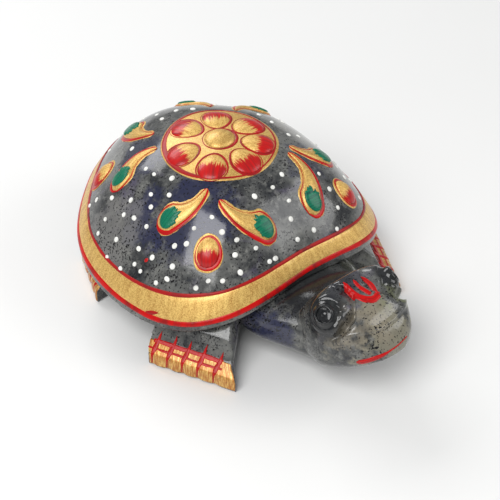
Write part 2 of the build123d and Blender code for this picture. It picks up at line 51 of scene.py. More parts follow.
# %% [markdown]
# ## One helper that makes a piece
# Each piece is a mesh made from points in millimetres. Working in millimetres and scaling once,
# at the end, keeps the numbers readable. Every piece rides on the one body of the tortoise,
# hides the CAD nodes that it stands for, and takes the material of its finish. A piece can
# carry brush marks: three numbers for each point, along the brush, across it, and a seed. The
# paint materials read them.

# %% A piece from points and faces
MATERIALS = {}


def piece(name, points, faces, finish, nodes=(), marks=None):
    """A mesh from points in millimetres, with its finish and its CAD nodes."""
    mesh = bpy.data.meshes.new(name)
    mesh.from_pydata((np.asarray(points, float) * MM).tolist(), [], faces)
    mesh.validate()
    mesh.shade_smooth()
    if marks is not None:
        layer = mesh.attributes.new("brush", "FLOAT_VECTOR", "POINT")
        layer.data.foreach_set("vector", np.asarray(marks, float).ravel())
    obj = bpy.data.objects.new(name, mesh)
    scene.collection.objects.link(obj)
    mesh.materials.append(MATERIALS[finish])
    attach(obj, "root")
    if nodes:
        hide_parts(*nodes)
    return obj


# %% [markdown]
# Nearly every surface here is a grid of points, row by row. A grid's faces could
# come from Blender's own grid tool, but then each point would have to be moved
# afterwards. Numbering the faces first lets the points come straight from a formula.

# %% Faces for a grid, and which way they look
INSIDE = np.array([0.0, 5.0, 10.0])      # a place in the middle of the body


def grid_faces(rows, columns, start=0, closed=False):
    """Quads between rows of points; closed joins the last column to the first."""
    faces = []
    for row in range(rows - 1):
        for column in range(columns if closed else columns - 1):
            a = start + row * columns + column
            b = start + row * columns + (column + 1) % columns
            faces.append((a, b, b + columns, a + columns))
    return faces


def facing_out(points, faces):
    """The faces, turned so that they look away from the middle of the body."""
    points = np.asarray(points, float) - INSIDE
    flux = sum(
        float(np.dot(points[f[0]], np.cross(points[f[1]], points[f[2]]))) for f in faces
    )
    return faces if flux > 0 else [f[::-1] for f in faces]


def brush_marks(along, across, seed):
    """The three numbers of every point, spread over a grid of points."""
    return np.stack(np.broadcast_arrays(along, across, float(seed)), -1)


def sheet_piece(name, sheet, finish, nodes, marks, closed=False):
    """A piece from a grid of points."""
    flat = sheet.reshape(-1, 3)
    faces = facing_out(flat, grid_faces(*sheet.shape[:2], closed=closed))
    return piece(name, flat, faces, finish, nodes, marks)


print("a grid of 3 x 3 points has", len(grid_faces(3, 3)), "faces")

# %% [markdown]
# ## The shape of the shell
# The shell is a low dome over a nearly round plan. A formula is the best way to
# have such a form: the plan is a circle with a few gentle waves, the rim is a
# wavy level above the floor, and the dome rises between them. Because the same
# formula also gives the slope, paint can be laid on it at any thickness.

# %% The dome's formula
HALF_WIDTH = 29.4                # of the plan, before its waves
CENTRE_Y = 8.75                  # the crown stands behind the frame's origin
RIM_HEIGHT = 12.4
CROWN_RISE = 19.2                # from the rim's level to the crown
DOME_POWER = 2.73                # 2 would be a round dome; more makes its sides steeper


def plan_radius(angle):
    """How far the rim lies from the crown, looking down."""
    wave = -0.008 * np.sin(angle) - 0.053 * np.sin(3 * angle) + 0.026 * np.sin(5 * angle)
    cross = 0.006 * np.cos(2 * angle) - 0.013 * np.cos(4 * angle)
    return HALF_WIDTH * (1 + wave + cross)


def rim_level(x, y):
    """The rim's height: it dips at the sides and lifts over the head and tail."""
    u = x / HALF_WIDTH
    v = (y - CENTRE_Y) / HALF_WIDTH
    return RIM_HEIGHT - 0.1 * v - 2.0 * (u * u - v * v) + 1.1 * (3 * u * u * v - v ** 3)


def dome_level(x, y):
    share = np.hypot(x, y - CENTRE_Y) / plan_radius(np.arctan2(y - CENTRE_Y, x))
    return rim_level(x, y) + CROWN_RISE * (1 - share ** DOME_POWER)


def dome_normal(x, y):
    """The way the dome faces, from its height a short step to either side."""
    step = 0.02
    slope_x = (dome_level(x + step, y) - dome_level(x - step, y)) / (2 * step)
    slope_y = (dome_level(x, y + step) - dome_level(x, y - step)) / (2 * step)
    normal = np.stack([-slope_x, -slope_y, np.ones_like(slope_x)], -1)
    return normal / np.linalg.norm(normal, axis=-1, keepdims=True)


def on_dome(x, y, lift=0.0):
    """Points over the plan places x, y, standing lift millimetres off the stone."""
    x = np.asarray(x, float)
    y = np.asarray(y, float)
    foot = np.stack([x, y, dome_level(x, y)], -1)
    return foot + dome_normal(x, y) * np.asarray(lift, float)[..., None]


print("crown of the dome at", round(float(dome_level(0.0, CENTRE_Y)), 2), "mm")

# %% [markdown]
# Near the rim it is handier to measure along the surface: so many millimetres up
# from the edge, or down over the lip. This helper walks up the dome in small steps
# and adds up their lengths. Below the edge the lip falls straight, then tucks in.

# %% Walking from the rim
LIP = 1.9                        # height of the lip
TUCK_START = LIP - 0.6           # how far down it starts to turn in under the shell
WALK_STEPS = 81
WALK_END = 0.6                   # share of the radius that a walk can reach


def from_rim(angle, distance, lift=0.0):
    """distance is negative up the dome from the rim's edge, positive down the lip."""
    angle = np.asarray(angle, float)
    distance = np.broadcast_to(np.asarray(distance, float), angle.shape)
    lift = np.broadcast_to(np.asarray(lift, float), angle.shape)
    across = np.stack([np.cos(angle), np.sin(angle)], -1)
    shares = np.linspace(1.0, WALK_END, WALK_STEPS)
    reach = plan_radius(angle)[:, None] * shares[None, :]
    x = reach * across[:, :1]
    y = CENTRE_Y + reach * across[:, 1:]
    walk = np.stack([x, y, dome_level(x, y)], -1)
    steps = np.linalg.norm(np.diff(walk, axis=1), axis=-1)
    run = np.concatenate([np.zeros((len(angle), 1)), np.cumsum(steps, axis=1)], axis=1)
    share = np.array([np.interp(-d, r, shares) for d, r in zip(distance, run)])
    reach = plan_radius(angle) * share
    x = reach * across[:, 0]
    y = CENTRE_Y + reach * across[:, 1]
    over = distance > 0
    outward = np.stack([across[:, 0], across[:, 1], 0 * angle], -1)
    points = on_dome(x, y, np.where(over, 0, lift))
    points += outward * np.where(over, lift, 0)[:, None]
    down = np.clip(distance, 0, None)
    tuck = np.clip(down - TUCK_START, 0, None)
    points[:, 2] -= down - 0.25 * tuck
    points -= outward * (0.9 * tuck)[:, None]
    return points


print("rim at the side, mm:", from_rim([0.0], 0.0).round(1).tolist())

# %% [markdown]
# ## Node helpers
# Materials are built from shader nodes. These helpers add a node, set or link its
# sockets and hand it back, so each material below reads as a short recipe.

# %% Helpers for shader nodes
def fill(tree, node, inputs):
    """Each input is a value to set, or another node's output to link."""
    for key, value in inputs.items():
        if isinstance(value, bpy.types.NodeSocket):
            tree.links.new(value, node.inputs[key])
        else:
            node.inputs[key].default_value = value


def add(tree, kind, inputs=None, **settings):
    """A new shader node with its settings and inputs."""
    made = tree.nodes.new("ShaderNode" + kind)
    for name, value in settings.items():
        setattr(made, name, value)
    fill(tree, made, inputs or {})
    return made


def maths(tree, operation, *values):
    return add(tree, "Math", dict(enumerate(values)), operation=operation).outputs[0]


def noise(tree, place, scale, detail, roughness=0.5, distortion=0.0):
    """A cloudy value between 0 and 1."""
    inputs = {"Vector": place, "Scale": scale, "Detail": detail, "Roughness": roughness,
              "Distortion": distortion}
    return add(tree, "TexNoise", inputs).outputs["Fac"]


def mixed(tree, mask, first, second):
    """The first colour where the mask is 0, the second where it is 1."""
    made = add(tree, "Mix", {0: mask, 6: first, 7: second}, data_type="RGBA")
    return made.outputs[2]


def ramp(tree, value, low, high):
    """0 at low, 1 at high, and a soft step between them."""
    made = add(tree, "MapRange", {"Value": value, "From Min": low, "From Max": high},
               interpolation_type="SMOOTHSTEP")
    return made.outputs["Result"]


def between(tree, value, low, high):
    """low where the value is 0, and high where it is 1."""
    made = add(tree, "MapRange", {"Value": value, "To Min": low, "To Max": high})
    return made.outputs["Result"]


def bump(tree, height, distance, strength, under=None):
    """A normal that tilts with a height, on top of another one."""
    inputs = {"Height": height, "Distance": distance, "Strength": strength}
    if under is not None:
        inputs["Normal"] = under
    return add(tree, "Bump", inputs).outputs["Normal"]


print("node helpers ready")

# %% [markdown]
# Some effects serve more than one material. Copying their nodes into each of them
# would work, but a change would then have to be made in every copy. A node group
# is built once and used with different values.

# %% Helpers for node groups and materials
def new_group(name, inputs, outputs):
    """An empty node group with named sockets, and its two end nodes."""
    tree = bpy.data.node_groups.new(name, "ShaderNodeTree")
    for label, kind, value in inputs:
        socket = tree.interface.new_socket(label, in_out="INPUT", socket_type=kind)
        if value is not None:
            socket.default_value = value
    for label, kind in outputs:
        tree.interface.new_socket(label, in_out="OUTPUT", socket_type=kind)
    start = tree.nodes.new("NodeGroupInput")
    end = tree.nodes.new("NodeGroupOutput")
    return tree, start.outputs, end


def use_group(tree, name, inputs):
    made = tree.nodes.new("ShaderNodeGroup")
    made.node_tree = bpy.data.node_groups[name]
    fill(tree, made, inputs)
    return made.outputs


def new_material(name):
    made = bpy.data.materials.new(name)
    made.use_nodes = True
    MATERIALS[name] = made
    return made.node_tree, made.node_tree.nodes["Principled BSDF"]


print("group helpers ready")

# %% [markdown]
# ## Stone patches
# The stone is one lump, so its colour must run on from the shell into the feet and the head.
# Coordinates of the object itself do that: they are the same for every piece of it. A patch is
# a soft ball in that space with a ragged edge, and a few of them place the navy, cream and
# olive areas where the photograph has them. Three near-black ones are painted shade: under the
# front of the shell over the neck, and round each eye.

# %% A soft ragged patch, as a node group
tree, start, end = new_group(
    "Stone_And_Shade_Patch",
    (
        ("Place", "NodeSocketVector", None),
        ("Centre", "NodeSocketVector", (0.0, 0.0, 0.0)),
        ("Reach", "NodeSocketFloat", 0.01),
        ("Raggedness", "NodeSocketFloat", 0.01),
    ),
    (("Mask", "NodeSocketFloat"),),
)
away = add(tree, "VectorMath", {0: start["Place"], 1: start["Centre"]}, operation="DISTANCE")
cloud = noise(tree, start["Place"], scale=170.0, detail=6.0, roughness=0.65)
ragged = maths(tree, "SUBTRACT", cloud, 0.5)
ragged = maths(tree, "MULTIPLY", ragged, start["Raggedness"])
share = maths(tree, "ADD", away.outputs["Value"], ragged)
share = maths(tree, "DIVIDE", share, start["Reach"])
fill(tree, end, {"Mask": ramp(tree, share, 1.15, 0.55)})
print("Stone_And_Shade_Patch:", len(tree.nodes), "nodes")

# %% [markdown]
# ## Polished stone
# Polished speckled stone can be made with photographs of stone, or from layered noise as here,
# which has no seams on a carved form. A broad noise gives pale and dark clouds, a middle one
# the crystals, and a fine one cut off high gives black specks. The patches give the areas of
# another colour, and also the painted shade over the neck and round the eyes. The polish is a
# low roughness, with a faint swell in the surface that bends the reflections.

# %% The patches of the stone, and the painted shade
STONE_PATCHES_AND_SHADE = (                      # centre, reach and raggedness in metres, colour, strength
    ((-0.015, -0.001, 0.026), 0.0085, 0.030, (0.016, 0.019, 0.052, 1.0), 0.90),
    ((-0.020, 0.005, 0.021), 0.0046, 0.025, (0.022, 0.025, 0.065, 1.0), 0.65),
    ((-0.011, 0.018, 0.028), 0.0070, 0.030, (0.022, 0.025, 0.062, 1.0), 0.65),
    ((0.012, -0.004, 0.027), 0.0050, 0.025, (0.030, 0.032, 0.065, 1.0), 0.55),
    ((-0.013, -0.021, 0.008), 0.0060, 0.020, (0.018, 0.021, 0.060, 1.0), 0.80),
    ((0.000, -0.0405, 0.016), 0.0074, 0.035, (0.250, 0.230, 0.165, 1.0), 0.66),
    ((0.009, -0.036, 0.017), 0.0060, 0.030, (0.170, 0.185, 0.095, 1.0), 0.65),
    ((-0.005, -0.0375, 0.0185), 0.0048, 0.025, (0.240, 0.205, 0.150, 1.0), 0.50),
    ((0.014, -0.022, 0.010), 0.0060, 0.015, (0.090, 0.095, 0.050, 1.0), 0.50),
    # The next three are painted shade: near-black under the shell over the neck, and round each
    # eye.
    ((0.000, -0.021, 0.013), 0.0085, 0.010, (0.009, 0.010, 0.011, 1.0), 0.92),
    ((-0.009, -0.031, 0.019), 0.0054, 0.008, (0.007, 0.008, 0.009, 1.0), 0.96),
    ((0.009, -0.031, 0.019), 0.0054, 0.008, (0.007, 0.008, 0.009, 1.0), 0.96),
    ((0.000, -0.027, 0.020), 0.0070, 0.020, (0.030, 0.031, 0.038, 1.0), 0.60),
    ((0.018, 0.010, 0.024), 0.0090, 0.030, (0.210, 0.205, 0.180, 1.0), 0.50),
    ((-0.025, 0.012, 0.017), 0.0085, 0.030, (0.185, 0.180, 0.172, 1.0), 0.60),
)
print("patches:", len(STONE_PATCHES_AND_SHADE))

# %% [markdown]
# The layers go one over the other: first the clouds, then the crystals and a purple
# cast, then the patches, and the black specks last. Mixing them in another order
# would work too, but on the real stone the specks run through every patch, so
# nothing may lie over them.

# %% The stone material
DARK_GREY = (0.016, 0.018, 0.021, 1.0)
PALE_GREY = (0.130, 0.132, 0.124, 1.0)
CRYSTAL_GREY = (0.20, 0.20, 0.185, 1.0)
PURPLE_GREY = (0.095, 0.080, 0.135, 1.0)
SPECK_BLACK = (0.006, 0.006, 0.007, 1.0)

tree, shader = new_material("stone")
place = add(tree, "TexCoord").outputs["Object"]
clouds = noise(tree, place, scale=95.0, detail=5.0, roughness=0.62, distortion=0.5)
crystals = noise(tree, place, scale=620.0, detail=4.0, roughness=0.7)
colour = mixed(tree, ramp(tree, clouds, 0.34, 0.66), DARK_GREY, PALE_GREY)
colour = mixed(tree, ramp(tree, crystals, 0.45, 0.80), colour, CRYSTAL_GREY)
purple = noise(tree, place, scale=130.0, detail=3.0, distortion=1.0)
tint = maths(tree, "MULTIPLY", ramp(tree, purple, 0.56, 0.74), 0.6)
colour = mixed(tree, tint, colour, PURPLE_GREY)
for centre, reach, raggedness, patch_colour, strength in STONE_PATCHES_AND_SHADE:
    patch = use_group(tree, "Stone_And_Shade_Patch", {"Place": place, "Centre": centre, "Reach": reach,
                                            "Raggedness": raggedness})
    mask = maths(tree, "MULTIPLY", patch["Mask"], strength)
    colour = mixed(tree, mask, colour, patch_colour)
gather = noise(tree, place, scale=210.0, detail=2.0)
crowd = maths(tree, "MULTIPLY", ramp(tree, gather, 0.40, 0.70), 0.07)
specks = noise(tree, place, scale=2300.0, detail=3.0, roughness=0.6)
specks = ramp(tree, maths(tree, "ADD", specks, crowd), 0.60, 0.64)
colour = mixed(tree, specks, colour, SPECK_BLACK)
swell = noise(tree, place, scale=75.0, detail=2.0)
swell = bump(tree, swell, distance=0.0006, strength=0.35)
fill(tree, shader, {
    "Base Color": colour,
    "Roughness": between(tree, crystals, 0.07, 0.17),
    "IOR": 1.52,
    "Normal": bump(tree, crystals, distance=0.00006, strength=0.3, under=swell),
})
print("stone:", len(tree.nodes), "nodes")

# %% [markdown]
# ## Brushed paint
# All the paint was laid on with a small brush, so every colour shares one effect:
# long streaks along the stroke, and a fine grain. The group reads the brush marks
# that the pieces carry. It gives the streaks and the grain as masks, and a normal
# with the low ridges that the bristles leave.

# %% Streaks and grain, as a node group
tree, start, end = new_group(
    "Brushed_Paint",
    (
        ("Brush", "NodeSocketVector", None),
        ("Place", "NodeSocketVector", None),
        ("Streak Length", "NodeSocketFloat", 0.25),
        ("Streak Count", "NodeSocketFloat", 6.0),
        ("Grain Scale", "NodeSocketFloat", 4500.0),
        ("Ridge Height", "NodeSocketFloat", 0.00003),
    ),
    (
        ("Streaks", "NodeSocketFloat"),
        ("Grain", "NodeSocketFloat"),
        ("Ragged End", "NodeSocketFloat"),
        ("Normal", "NodeSocketVector"),
    ),
)
brush = add(tree, "SeparateXYZ", {0: start["Brush"]}).outputs
along = maths(tree, "MULTIPLY", brush["X"], start["Streak Length"])
across = maths(tree, "MULTIPLY", brush["Y"], start["Streak Count"])
seed = maths(tree, "MULTIPLY", brush["Z"], 7.3)
stroke = add(tree, "CombineXYZ", {0: along, 1: across, 2: seed}).outputs[0]
bristles = add(tree, "CombineXYZ", {0: seed, 1: across, 2: along}).outputs[0]
streaks = noise(tree, stroke, scale=1.0, detail=4.0, roughness=0.6)
grain = noise(tree, start["Place"], start["Grain Scale"], detail=2.0, roughness=0.7)
ridges = bump(tree, streaks, start["Ridge Height"], strength=0.6)
fill(tree, end, {
    "Streaks": streaks,
    "Grain": grain,
    "Ragged End": noise(tree, bristles, scale=1.6, detail=3.0, roughness=0.75),
    "Normal": bump(tree, grain, distance=0.000012, strength=0.5, under=ridges),
})
print("Brushed_Paint:", len(tree.nodes), "nodes")

# %% [markdown]
# ## Gold paint
# Gold paint isn't gold leaf: it is fine metal flake in a clear binder. A fully
# metallic shader would look like a solid casting, and a plain yellow one like
# plastic. So it is part metallic and fairly rough, and its colour runs from a dull
# ochre, where the flake lies thin, to a bright yellow where it lies thick.

# %% The gold paint
THIN_GOLD = (0.42, 0.195, 0.035, 1.0)
THICK_GOLD = (0.84, 0.58, 0.18, 1.0)


def film_of(tree, **values):
    """The brushed paint effect, fed with a piece's own brush marks."""
    brush = add(tree, "Attribute", attribute_name="brush").outputs["Vector"]
    place = add(tree, "TexCoord").outputs["Object"]
    named = {key.replace("_", " "): value for key, value in values.items()}
    return use_group(tree, "Brushed_Paint", {"Brush": brush, "Place": place, **named})


def gold_colour(tree, film):
    layer = maths(tree, "MULTIPLY", film["Streaks"], 0.35)
    layer = maths(tree, "MULTIPLY_ADD", film["Grain"], 0.65, layer)
    return mixed(tree, ramp(tree, layer, 0.30, 0.66), THIN_GOLD, THICK_GOLD)


tree, shader = new_material("gold")
film = film_of(tree)
fill(tree, shader, {
    "Base Color": gold_colour(tree, film),
    "Metallic": 0.55,
    "Roughness": between(tree, film["Grain"], 0.34, 0.62),
    "Normal": film["Normal"],
    "Coat Weight": 0.25,
    "Coat Roughness": 0.12,
})
print("gold:", len(tree.nodes), "nodes")

# %% [markdown]
# ## Worn gold
# The toes stand on the ground and are handled most, so their gold is rubbed thin to
# an orange and chipped through to dark grime. The wear could be painted as an
# image. Noise does it here without a seam, and one mask of chips changes the
# colour and takes away the metal together.

# %% The worn gold of the toes
WORN_ORANGE = (0.44, 0.150, 0.020, 1.0)
CHIPPED_BROWN = (0.035, 0.022, 0.012, 1.0)

tree, shader = new_material("worn_gold")
film = film_of(tree, Streak_Count=1.6, Streak_Length=0.45)
rubbed = ramp(tree, film["Streaks"], 0.40, 0.62)
orange = mixed(tree, rubbed, WORN_ORANGE, gold_colour(tree, film))
place = add(tree, "TexCoord").outputs["Object"]
chips = noise(tree, place, scale=420.0, detail=5.0, roughness=0.75)
chips = ramp(tree, chips, 0.62, 0.66)
fill(tree, shader, {
    "Base Color": mixed(tree, chips, orange, CHIPPED_BROWN),
    "Metallic": maths(tree, "MULTIPLY_ADD", chips, -0.4, 0.45),
    "Roughness": between(tree, film["Grain"], 0.30, 0.60),
    "Normal": film["Normal"],
    "Coat Weight": 0.3,
    "Coat Roughness": 0.10,
})
print("worn_gold:", len(tree.nodes), "nodes")

# %% [markdown]
# ## Gold that turns red
# Petals and drops are gold beads whose outer end was dabbed red with a nearly dry
# brush. Two beads, one over the other, would leave a hard step between them, so
# the red is a mask here: how far along the bead a point is, plus a noise that is
# stretched along the bristles, cut off sharply.

# %% The paint of the petals and drops
PAINT_RED = (0.50, 0.003, 0.003, 1.0)
DEEP_RED = (0.24, 0.008, 0.008, 1.0)

tree, shader = new_material("gold_to_red")
film = film_of(tree, Streak_Count=14.0, Streak_Length=0.8)
brush = add(tree, "Attribute", attribute_name="brush").outputs["Vector"]
reach = add(tree, "SeparateXYZ", {0: brush}).outputs["X"]
spread = maths(tree, "MULTIPLY_ADD", film["Ragged End"], 0.9, reach)
red_mask = ramp(tree, spread, 0.88, 0.97)
red_side = mixed(tree, ramp(tree, film["Streaks"], 0.3, 0.6), DEEP_RED, PAINT_RED)
fill(tree, shader, {
    "Base Color": mixed(tree, red_mask, gold_colour(tree, film), red_side),
    "Metallic": maths(tree, "MULTIPLY_ADD", red_mask, -0.32, 0.32),
    "Roughness": maths(tree, "MULTIPLY_ADD", red_mask, -0.20, 0.52),
    "Normal": film["Normal"],
    "Specular IOR Level": 0.35,
    "Coat Weight": 0.12,
    "Coat Roughness": 0.08,
})
print("gold_to_red:", len(tree.nodes), "nodes")

# %% [markdown]
# ## Red, green and white paint
# These are plain glossy enamels. A single flat colour would make them look moulded.
# Each is a pair of colours, for where the paint is thin and where it is full, and
# the streaks choose between them, so one short function makes all four.

# %% The enamel paints
def enamel(name, thin, full, roughness, streak_count):
    tree, shader = new_material(name)
    film = film_of(tree, Streak_Count=streak_count, Ridge_Height=0.00004)
    fill(tree, shader, {
        "Base Color": mixed(tree, ramp(tree, film["Streaks"], 0.30, 0.58), thin, full),
        "Roughness": between(tree, film["Grain"], roughness, roughness + 0.12),
        "Normal": film["Normal"],
        "Specular IOR Level": 0.22,
        "Coat Weight": 0.10,
        "Coat Roughness": 0.06,
    })


enamel("red", DEEP_RED, PAINT_RED, 0.24, 3.0)
enamel("dark_red", (0.17, 0.010, 0.012, 1.0), (0.36, 0.008, 0.008, 1.0), 0.30, 2.0)
enamel("green", (0.003, 0.055, 0.046, 1.0), (0.005, 0.165, 0.085, 1.0), 0.20, 6.0)
enamel("white", (0.62, 0.62, 0.58, 1.0), (0.84, 0.84, 0.80, 1.0), 0.22, 1.0)
print("materials:", sorted(MATERIALS))

# %% [markdown]
# ## The shell
# The shell is the biggest polished form, so any unevenness would show in its
# reflections. A sculpted mesh would need much smoothing. Here the dome is drawn
# ring by ring from the crown to the rim by its formula. Then the rings walk over
# the rim and down the lip, whose lower edge is rounded as polishing leaves it, and
# run in under the shell.

# %% The stone shell
TURNS = 256                      # points in each ring


def skin(rings):
    """A closed skin over rings of points, drawn together to a point at both ends."""
    columns = len(rings[0])
    points = np.concatenate(rings)
    faces = grid_faces(len(rings), columns, closed=True)
    first, last = len(points), len(points) + 1
    points = np.concatenate([points, [rings[0].mean(0)], [rings[-1].mean(0)]])
    base = (len(rings) - 1) * columns
    for column in range(columns):
        after = (column + 1) % columns
        faces.append((first, after, column))
        faces.append((last, base + column, base + after))
    return points, facing_out(points, faces)


def full_turn(count):
    return np.linspace(0, 2 * pi, count, endpoint=False)


def plan_ring(share, level, turn=full_turn(TURNS)):
    """A ring at a share of the plan's radius, at a level given by a function."""
    reach = share * plan_radius(turn)
    x = reach * np.cos(turn)
    y = CENTRE_Y + reach * np.sin(turn)
    return np.stack([x, y, level(x, y)], -1)


shares = np.concatenate([np.linspace(0.01, 0.90, 46), np.linspace(0.915, 1.0, 9)])
rings = [plan_ring(share, dome_level) for share in shares]
rings += [from_rim(full_turn(TURNS), down) for down in np.linspace(0.1, LIP + 0.5, 14)]
rings += [plan_ring(share, lambda x, y: rim_level(x, y) - LIP) for share in (0.93, 0.85, 0.5)]
points, faces = skin(rings)
piece("shell_stone", points, faces, "stone", ["carved_stone"])
print("shell_stone:", len(faces), "faces")

# %% [markdown]
# ## Carving: forms melted together
# The head, neck, feet and belly run into each other, as in any carving. Such a
# form can be sculpted by hand, or each part can be a simple closed skin, after
# which a voxel remesh melts them together and a smoothing rounds the joins. The
# second way keeps every size a number, so it is the one used here.

# %% Melting closed skins together
def joined(skins):
    """Several meshes as one list of points and one of faces."""
    points = []
    faces = []
    for some_points, some_faces in skins:
        start = len(points)
        points += np.asarray(some_points, float).tolist()
        faces += [tuple(start + i for i in face) for face in some_faces]
    return np.array(points), faces


def melted(skins, voxel, rounds):
    """One skin around several, in cubes of the given size, then smoothed."""
    points, faces = joined(skins)
    mesh = bpy.data.meshes.new("rough")
    mesh.from_pydata(points.tolist(), [], faces)
    rough = bpy.data.objects.new("rough", mesh)
    scene.collection.objects.link(rough)
    remesh = rough.modifiers.new("Remesh", "REMESH")
    remesh.mode = "VOXEL"
    remesh.voxel_size = voxel
    smooth = rough.modifiers.new("Smooth", "SMOOTH")
    smooth.factor = 0.5
    smooth.iterations = rounds
    seen = rough.evaluated_get(bpy.context.evaluated_depsgraph_get())
    done = bpy.data.meshes.new_from_object(seen)
    flat = np.empty(len(done.vertices) * 3)
    done.vertices.foreach_get("co", flat)
    faces = [tuple(polygon.vertices) for polygon in done.polygons]
    bpy.data.objects.remove(rough)
    bpy.data.meshes.remove(mesh)
    bpy.data.meshes.remove(done)
    return flat.reshape(-1, 3), faces


print("melting ready")

# %% [markdown]
# A carved form is given by a few sizes at a few places, with a smooth curve
# between them, and each place has a ring across the body. A circle would look
# turned on a lathe and a square sawn, so the ring is a square with round corners.

# %% Curves through a table, and soft boxes
def eased(places, values, at):
    """A smooth curve through a short table of places and values."""
    slopes = np.gradient(values, places)
    i = np.clip(np.searchsorted(places, at) - 1, 0, len(places) - 2)
    places = np.asarray(places)
    values = np.asarray(values)
    gap = places[i + 1] - places[i]
    t = (at - places[i]) / gap
    return (
        values[i] * (2 * t ** 3 - 3 * t ** 2 + 1)
        + slopes[i] * gap * (t ** 3 - 2 * t ** 2 + t)
        + values[i + 1] * (3 * t ** 2 - 2 * t ** 3)
        + slopes[i + 1] * gap * (t ** 3 - t ** 2)
    )


def soft_box(y, half_width, low, high, boxiness):
    """A ring across the body; more boxiness makes its corners sharper."""
    angle = full_turn(72)
    across = np.sign(np.cos(angle)) * np.abs(np.cos(angle)) ** (2 / boxiness)
    up = np.sign(np.sin(angle)) * np.abs(np.sin(angle)) ** (2 / boxiness)
    x = half_width * across
    z = (low + high) / 2 + (high - low) / 2 * up
    return np.stack([x, np.full(len(angle), float(y)), z], -1)


print("half way from 0 to 1:", float(eased((0.0, 1.0), (0.0, 1.0), 0.5)))

# %% [markdown]
# ## Head and neck
# The head is a soft box that narrows to a blunt snout. Its back edge stands up
# crisply over the neck, which is what makes it look carved and not moulded, so the
# two are separate skins that are melted only a little.

# %% The stone head and neck
HEAD_BACK = -24.0                # y of the back of the head
SNOUT = -42.2
PLACES = (0.0, 0.12, 0.22, 0.42, 0.62, 0.80, 0.93, 1.0)   # from the back to the snout
WIDTHS = (7.2, 8.3, 9.0, 9.4, 8.6, 7.0, 5.0, 2.6)
CROWNS = (15.8, 18.6, 21.0, 20.6, 19.8, 17.9, 15.5, 13.4)
UNDERS = (3.6, 3.4, 3.4, 4.0, 6.1, 8.6, 10.6, 11.8)
NECK_PLACES = (-30.0, -25.0, -18.0, -8.0)
NECK_WIDTHS = (7.6, 9.6, 12.6, 13.0)
NECK_CROWNS = (13.6, 14.0, 13.6, 13.0)
NECK_UNDER = 2.6

head_rings = []
for place in np.linspace(0, 1, 40):
    y = HEAD_BACK + place * (SNOUT - HEAD_BACK)
    width, under, crown = (eased(PLACES, sizes, place) for sizes in (WIDTHS, UNDERS, CROWNS))
    head_rings.append(soft_box(y, width, under, crown, boxiness=3.2))
neck_rings = []
for y in np.linspace(-8.0, -30.0, 24):
    width, crown = (eased(NECK_PLACES, sizes, y) for sizes in (NECK_WIDTHS, NECK_CROWNS))
    neck_rings.append(soft_box(y, width, NECK_UNDER, crown, boxiness=2.5))
skins = [skin(head_rings), skin(neck_rings)]
head_points, head_faces = melted(skins, voxel=0.26, rounds=5)
print("head melted:", len(head_faces), "faces")

# %% [markdown]
# ## Cuts and swellings on the head
# Round each eye the carver left a bulging eyeball, a brow cut round it, and a
# gouge in front of it. Boolean cuts would need many cutter shapes and leave sharp
# edges. Instead each point of the head is pushed in or out along the way that the
# eye looks, by smooth bell curves of its distance from the eye.

# %% Eyeballs and brows
EYES = []                        # middle of each eye, and the way that it looks
for side in (-1, 1):
    looking = np.array([side * 0.78, -0.28, 0.56])
    EYES.append((np.array([side * 7.7, -31.6, 18.7]), looking / np.linalg.norm(looking)))
BALL_HEIGHT = 0.9
BALL_RADIUS = 3.7
BROW_DEPTH = 1.5
MOAT_DEPTH = 0.35                # a shallow ring round the drilled eye
GOUGE_DEPTH = 1.0


def bell(distance, middle, width):
    """1 in the middle, falling smoothly to 0 on both sides."""
    return np.exp(-((distance - middle) / width) ** 2)


seats = []                       # how high the eyeball stands where the drilled ring sits
for middle, looking in EYES:
    away = head_points - middle
    depth = away @ looking
    flat = away - depth[:, None] * looking
    radius = np.linalg.norm(flat, axis=1)
    forward = -flat[:, 1] + 0.9 * flat[:, 2] - 0.35
    near = (depth > -3.5) & (radius < 7.0)
    push = BALL_HEIGHT * np.clip(1 - (radius / BALL_RADIUS) ** 2, 0, 1) ** 0.7
    push -= BROW_DEPTH * bell(radius, 4.5, 0.60) / (1 + np.exp(-forward * 1.4))
    push -= MOAT_DEPTH * bell(radius, 2.5, 0.38)
    gouge = bell(radius, 4.6, 0.65) * bell(flat[:, 2], 0.6, 0.9) * (flat[:, 1] < 0)
    push -= GOUGE_DEPTH * gouge
    head_points += looking * np.where(near, push, 0)[:, None]
    under_ring = near & (radius > 1.7) & (radius < 2.1)
    seats.append(float(np.median(((head_points - middle) @ looking)[under_ring])))
print("eye seats, mm:", [round(seat, 2) for seat in seats])

# %% [markdown]
# A ridge crosses the nose where two cuts met, and small nicks show where the tool
# went in. They could be drawn on with a sculpting brush. The same bell curves do it
# by numbers: a long one along a bent line, and short ones at single places.

# %% The ridge over the nose and the nicks of the tool
HEAD_MIDDLE = np.array([0.0, -33.0, 12.0])
RIDGE = np.array((
    (-7.6, -36.2, 16.6), (-5.3, -38.2, 17.5), (-1.8, -39.5, 17.3),
    (1.8, -39.3, 17.4), (5.3, -38.2, 17.5), (7.6, -36.2, 16.6),
))
RIDGE_HEIGHT = 0.42
RIDGE_WIDTH = 0.42
NICKS = ((5.3, -33.0, 20.1, 0.85), (7.1, -35.0, 18.1, 0.75))     # place and depth
NICK_WIDTH = 0.75

outward = head_points - HEAD_MIDDLE
outward /= np.linalg.norm(outward, axis=1, keepdims=True)
corners = np.arange(len(RIDGE))
ridge_steps = np.linspace(0, corners[-1], 80)
ridge = np.stack([np.interp(ridge_steps, corners, RIDGE[:, i]) for i in range(3)], -1)
gap = np.linalg.norm(head_points[:, None] - ridge[None], axis=-1).min(1)
head_points += outward * (RIDGE_HEIGHT * bell(gap, 0, RIDGE_WIDTH))[:, None]
for x, y, z, depth in NICKS:
    for side in (-1, 1):
        gap = np.linalg.norm(head_points - np.array([side * x, y, z]), axis=1)
        head_points -= outward * (depth * bell(gap, 0, NICK_WIDTH))[:, None]
print("nicks:", 2 * len(NICKS))

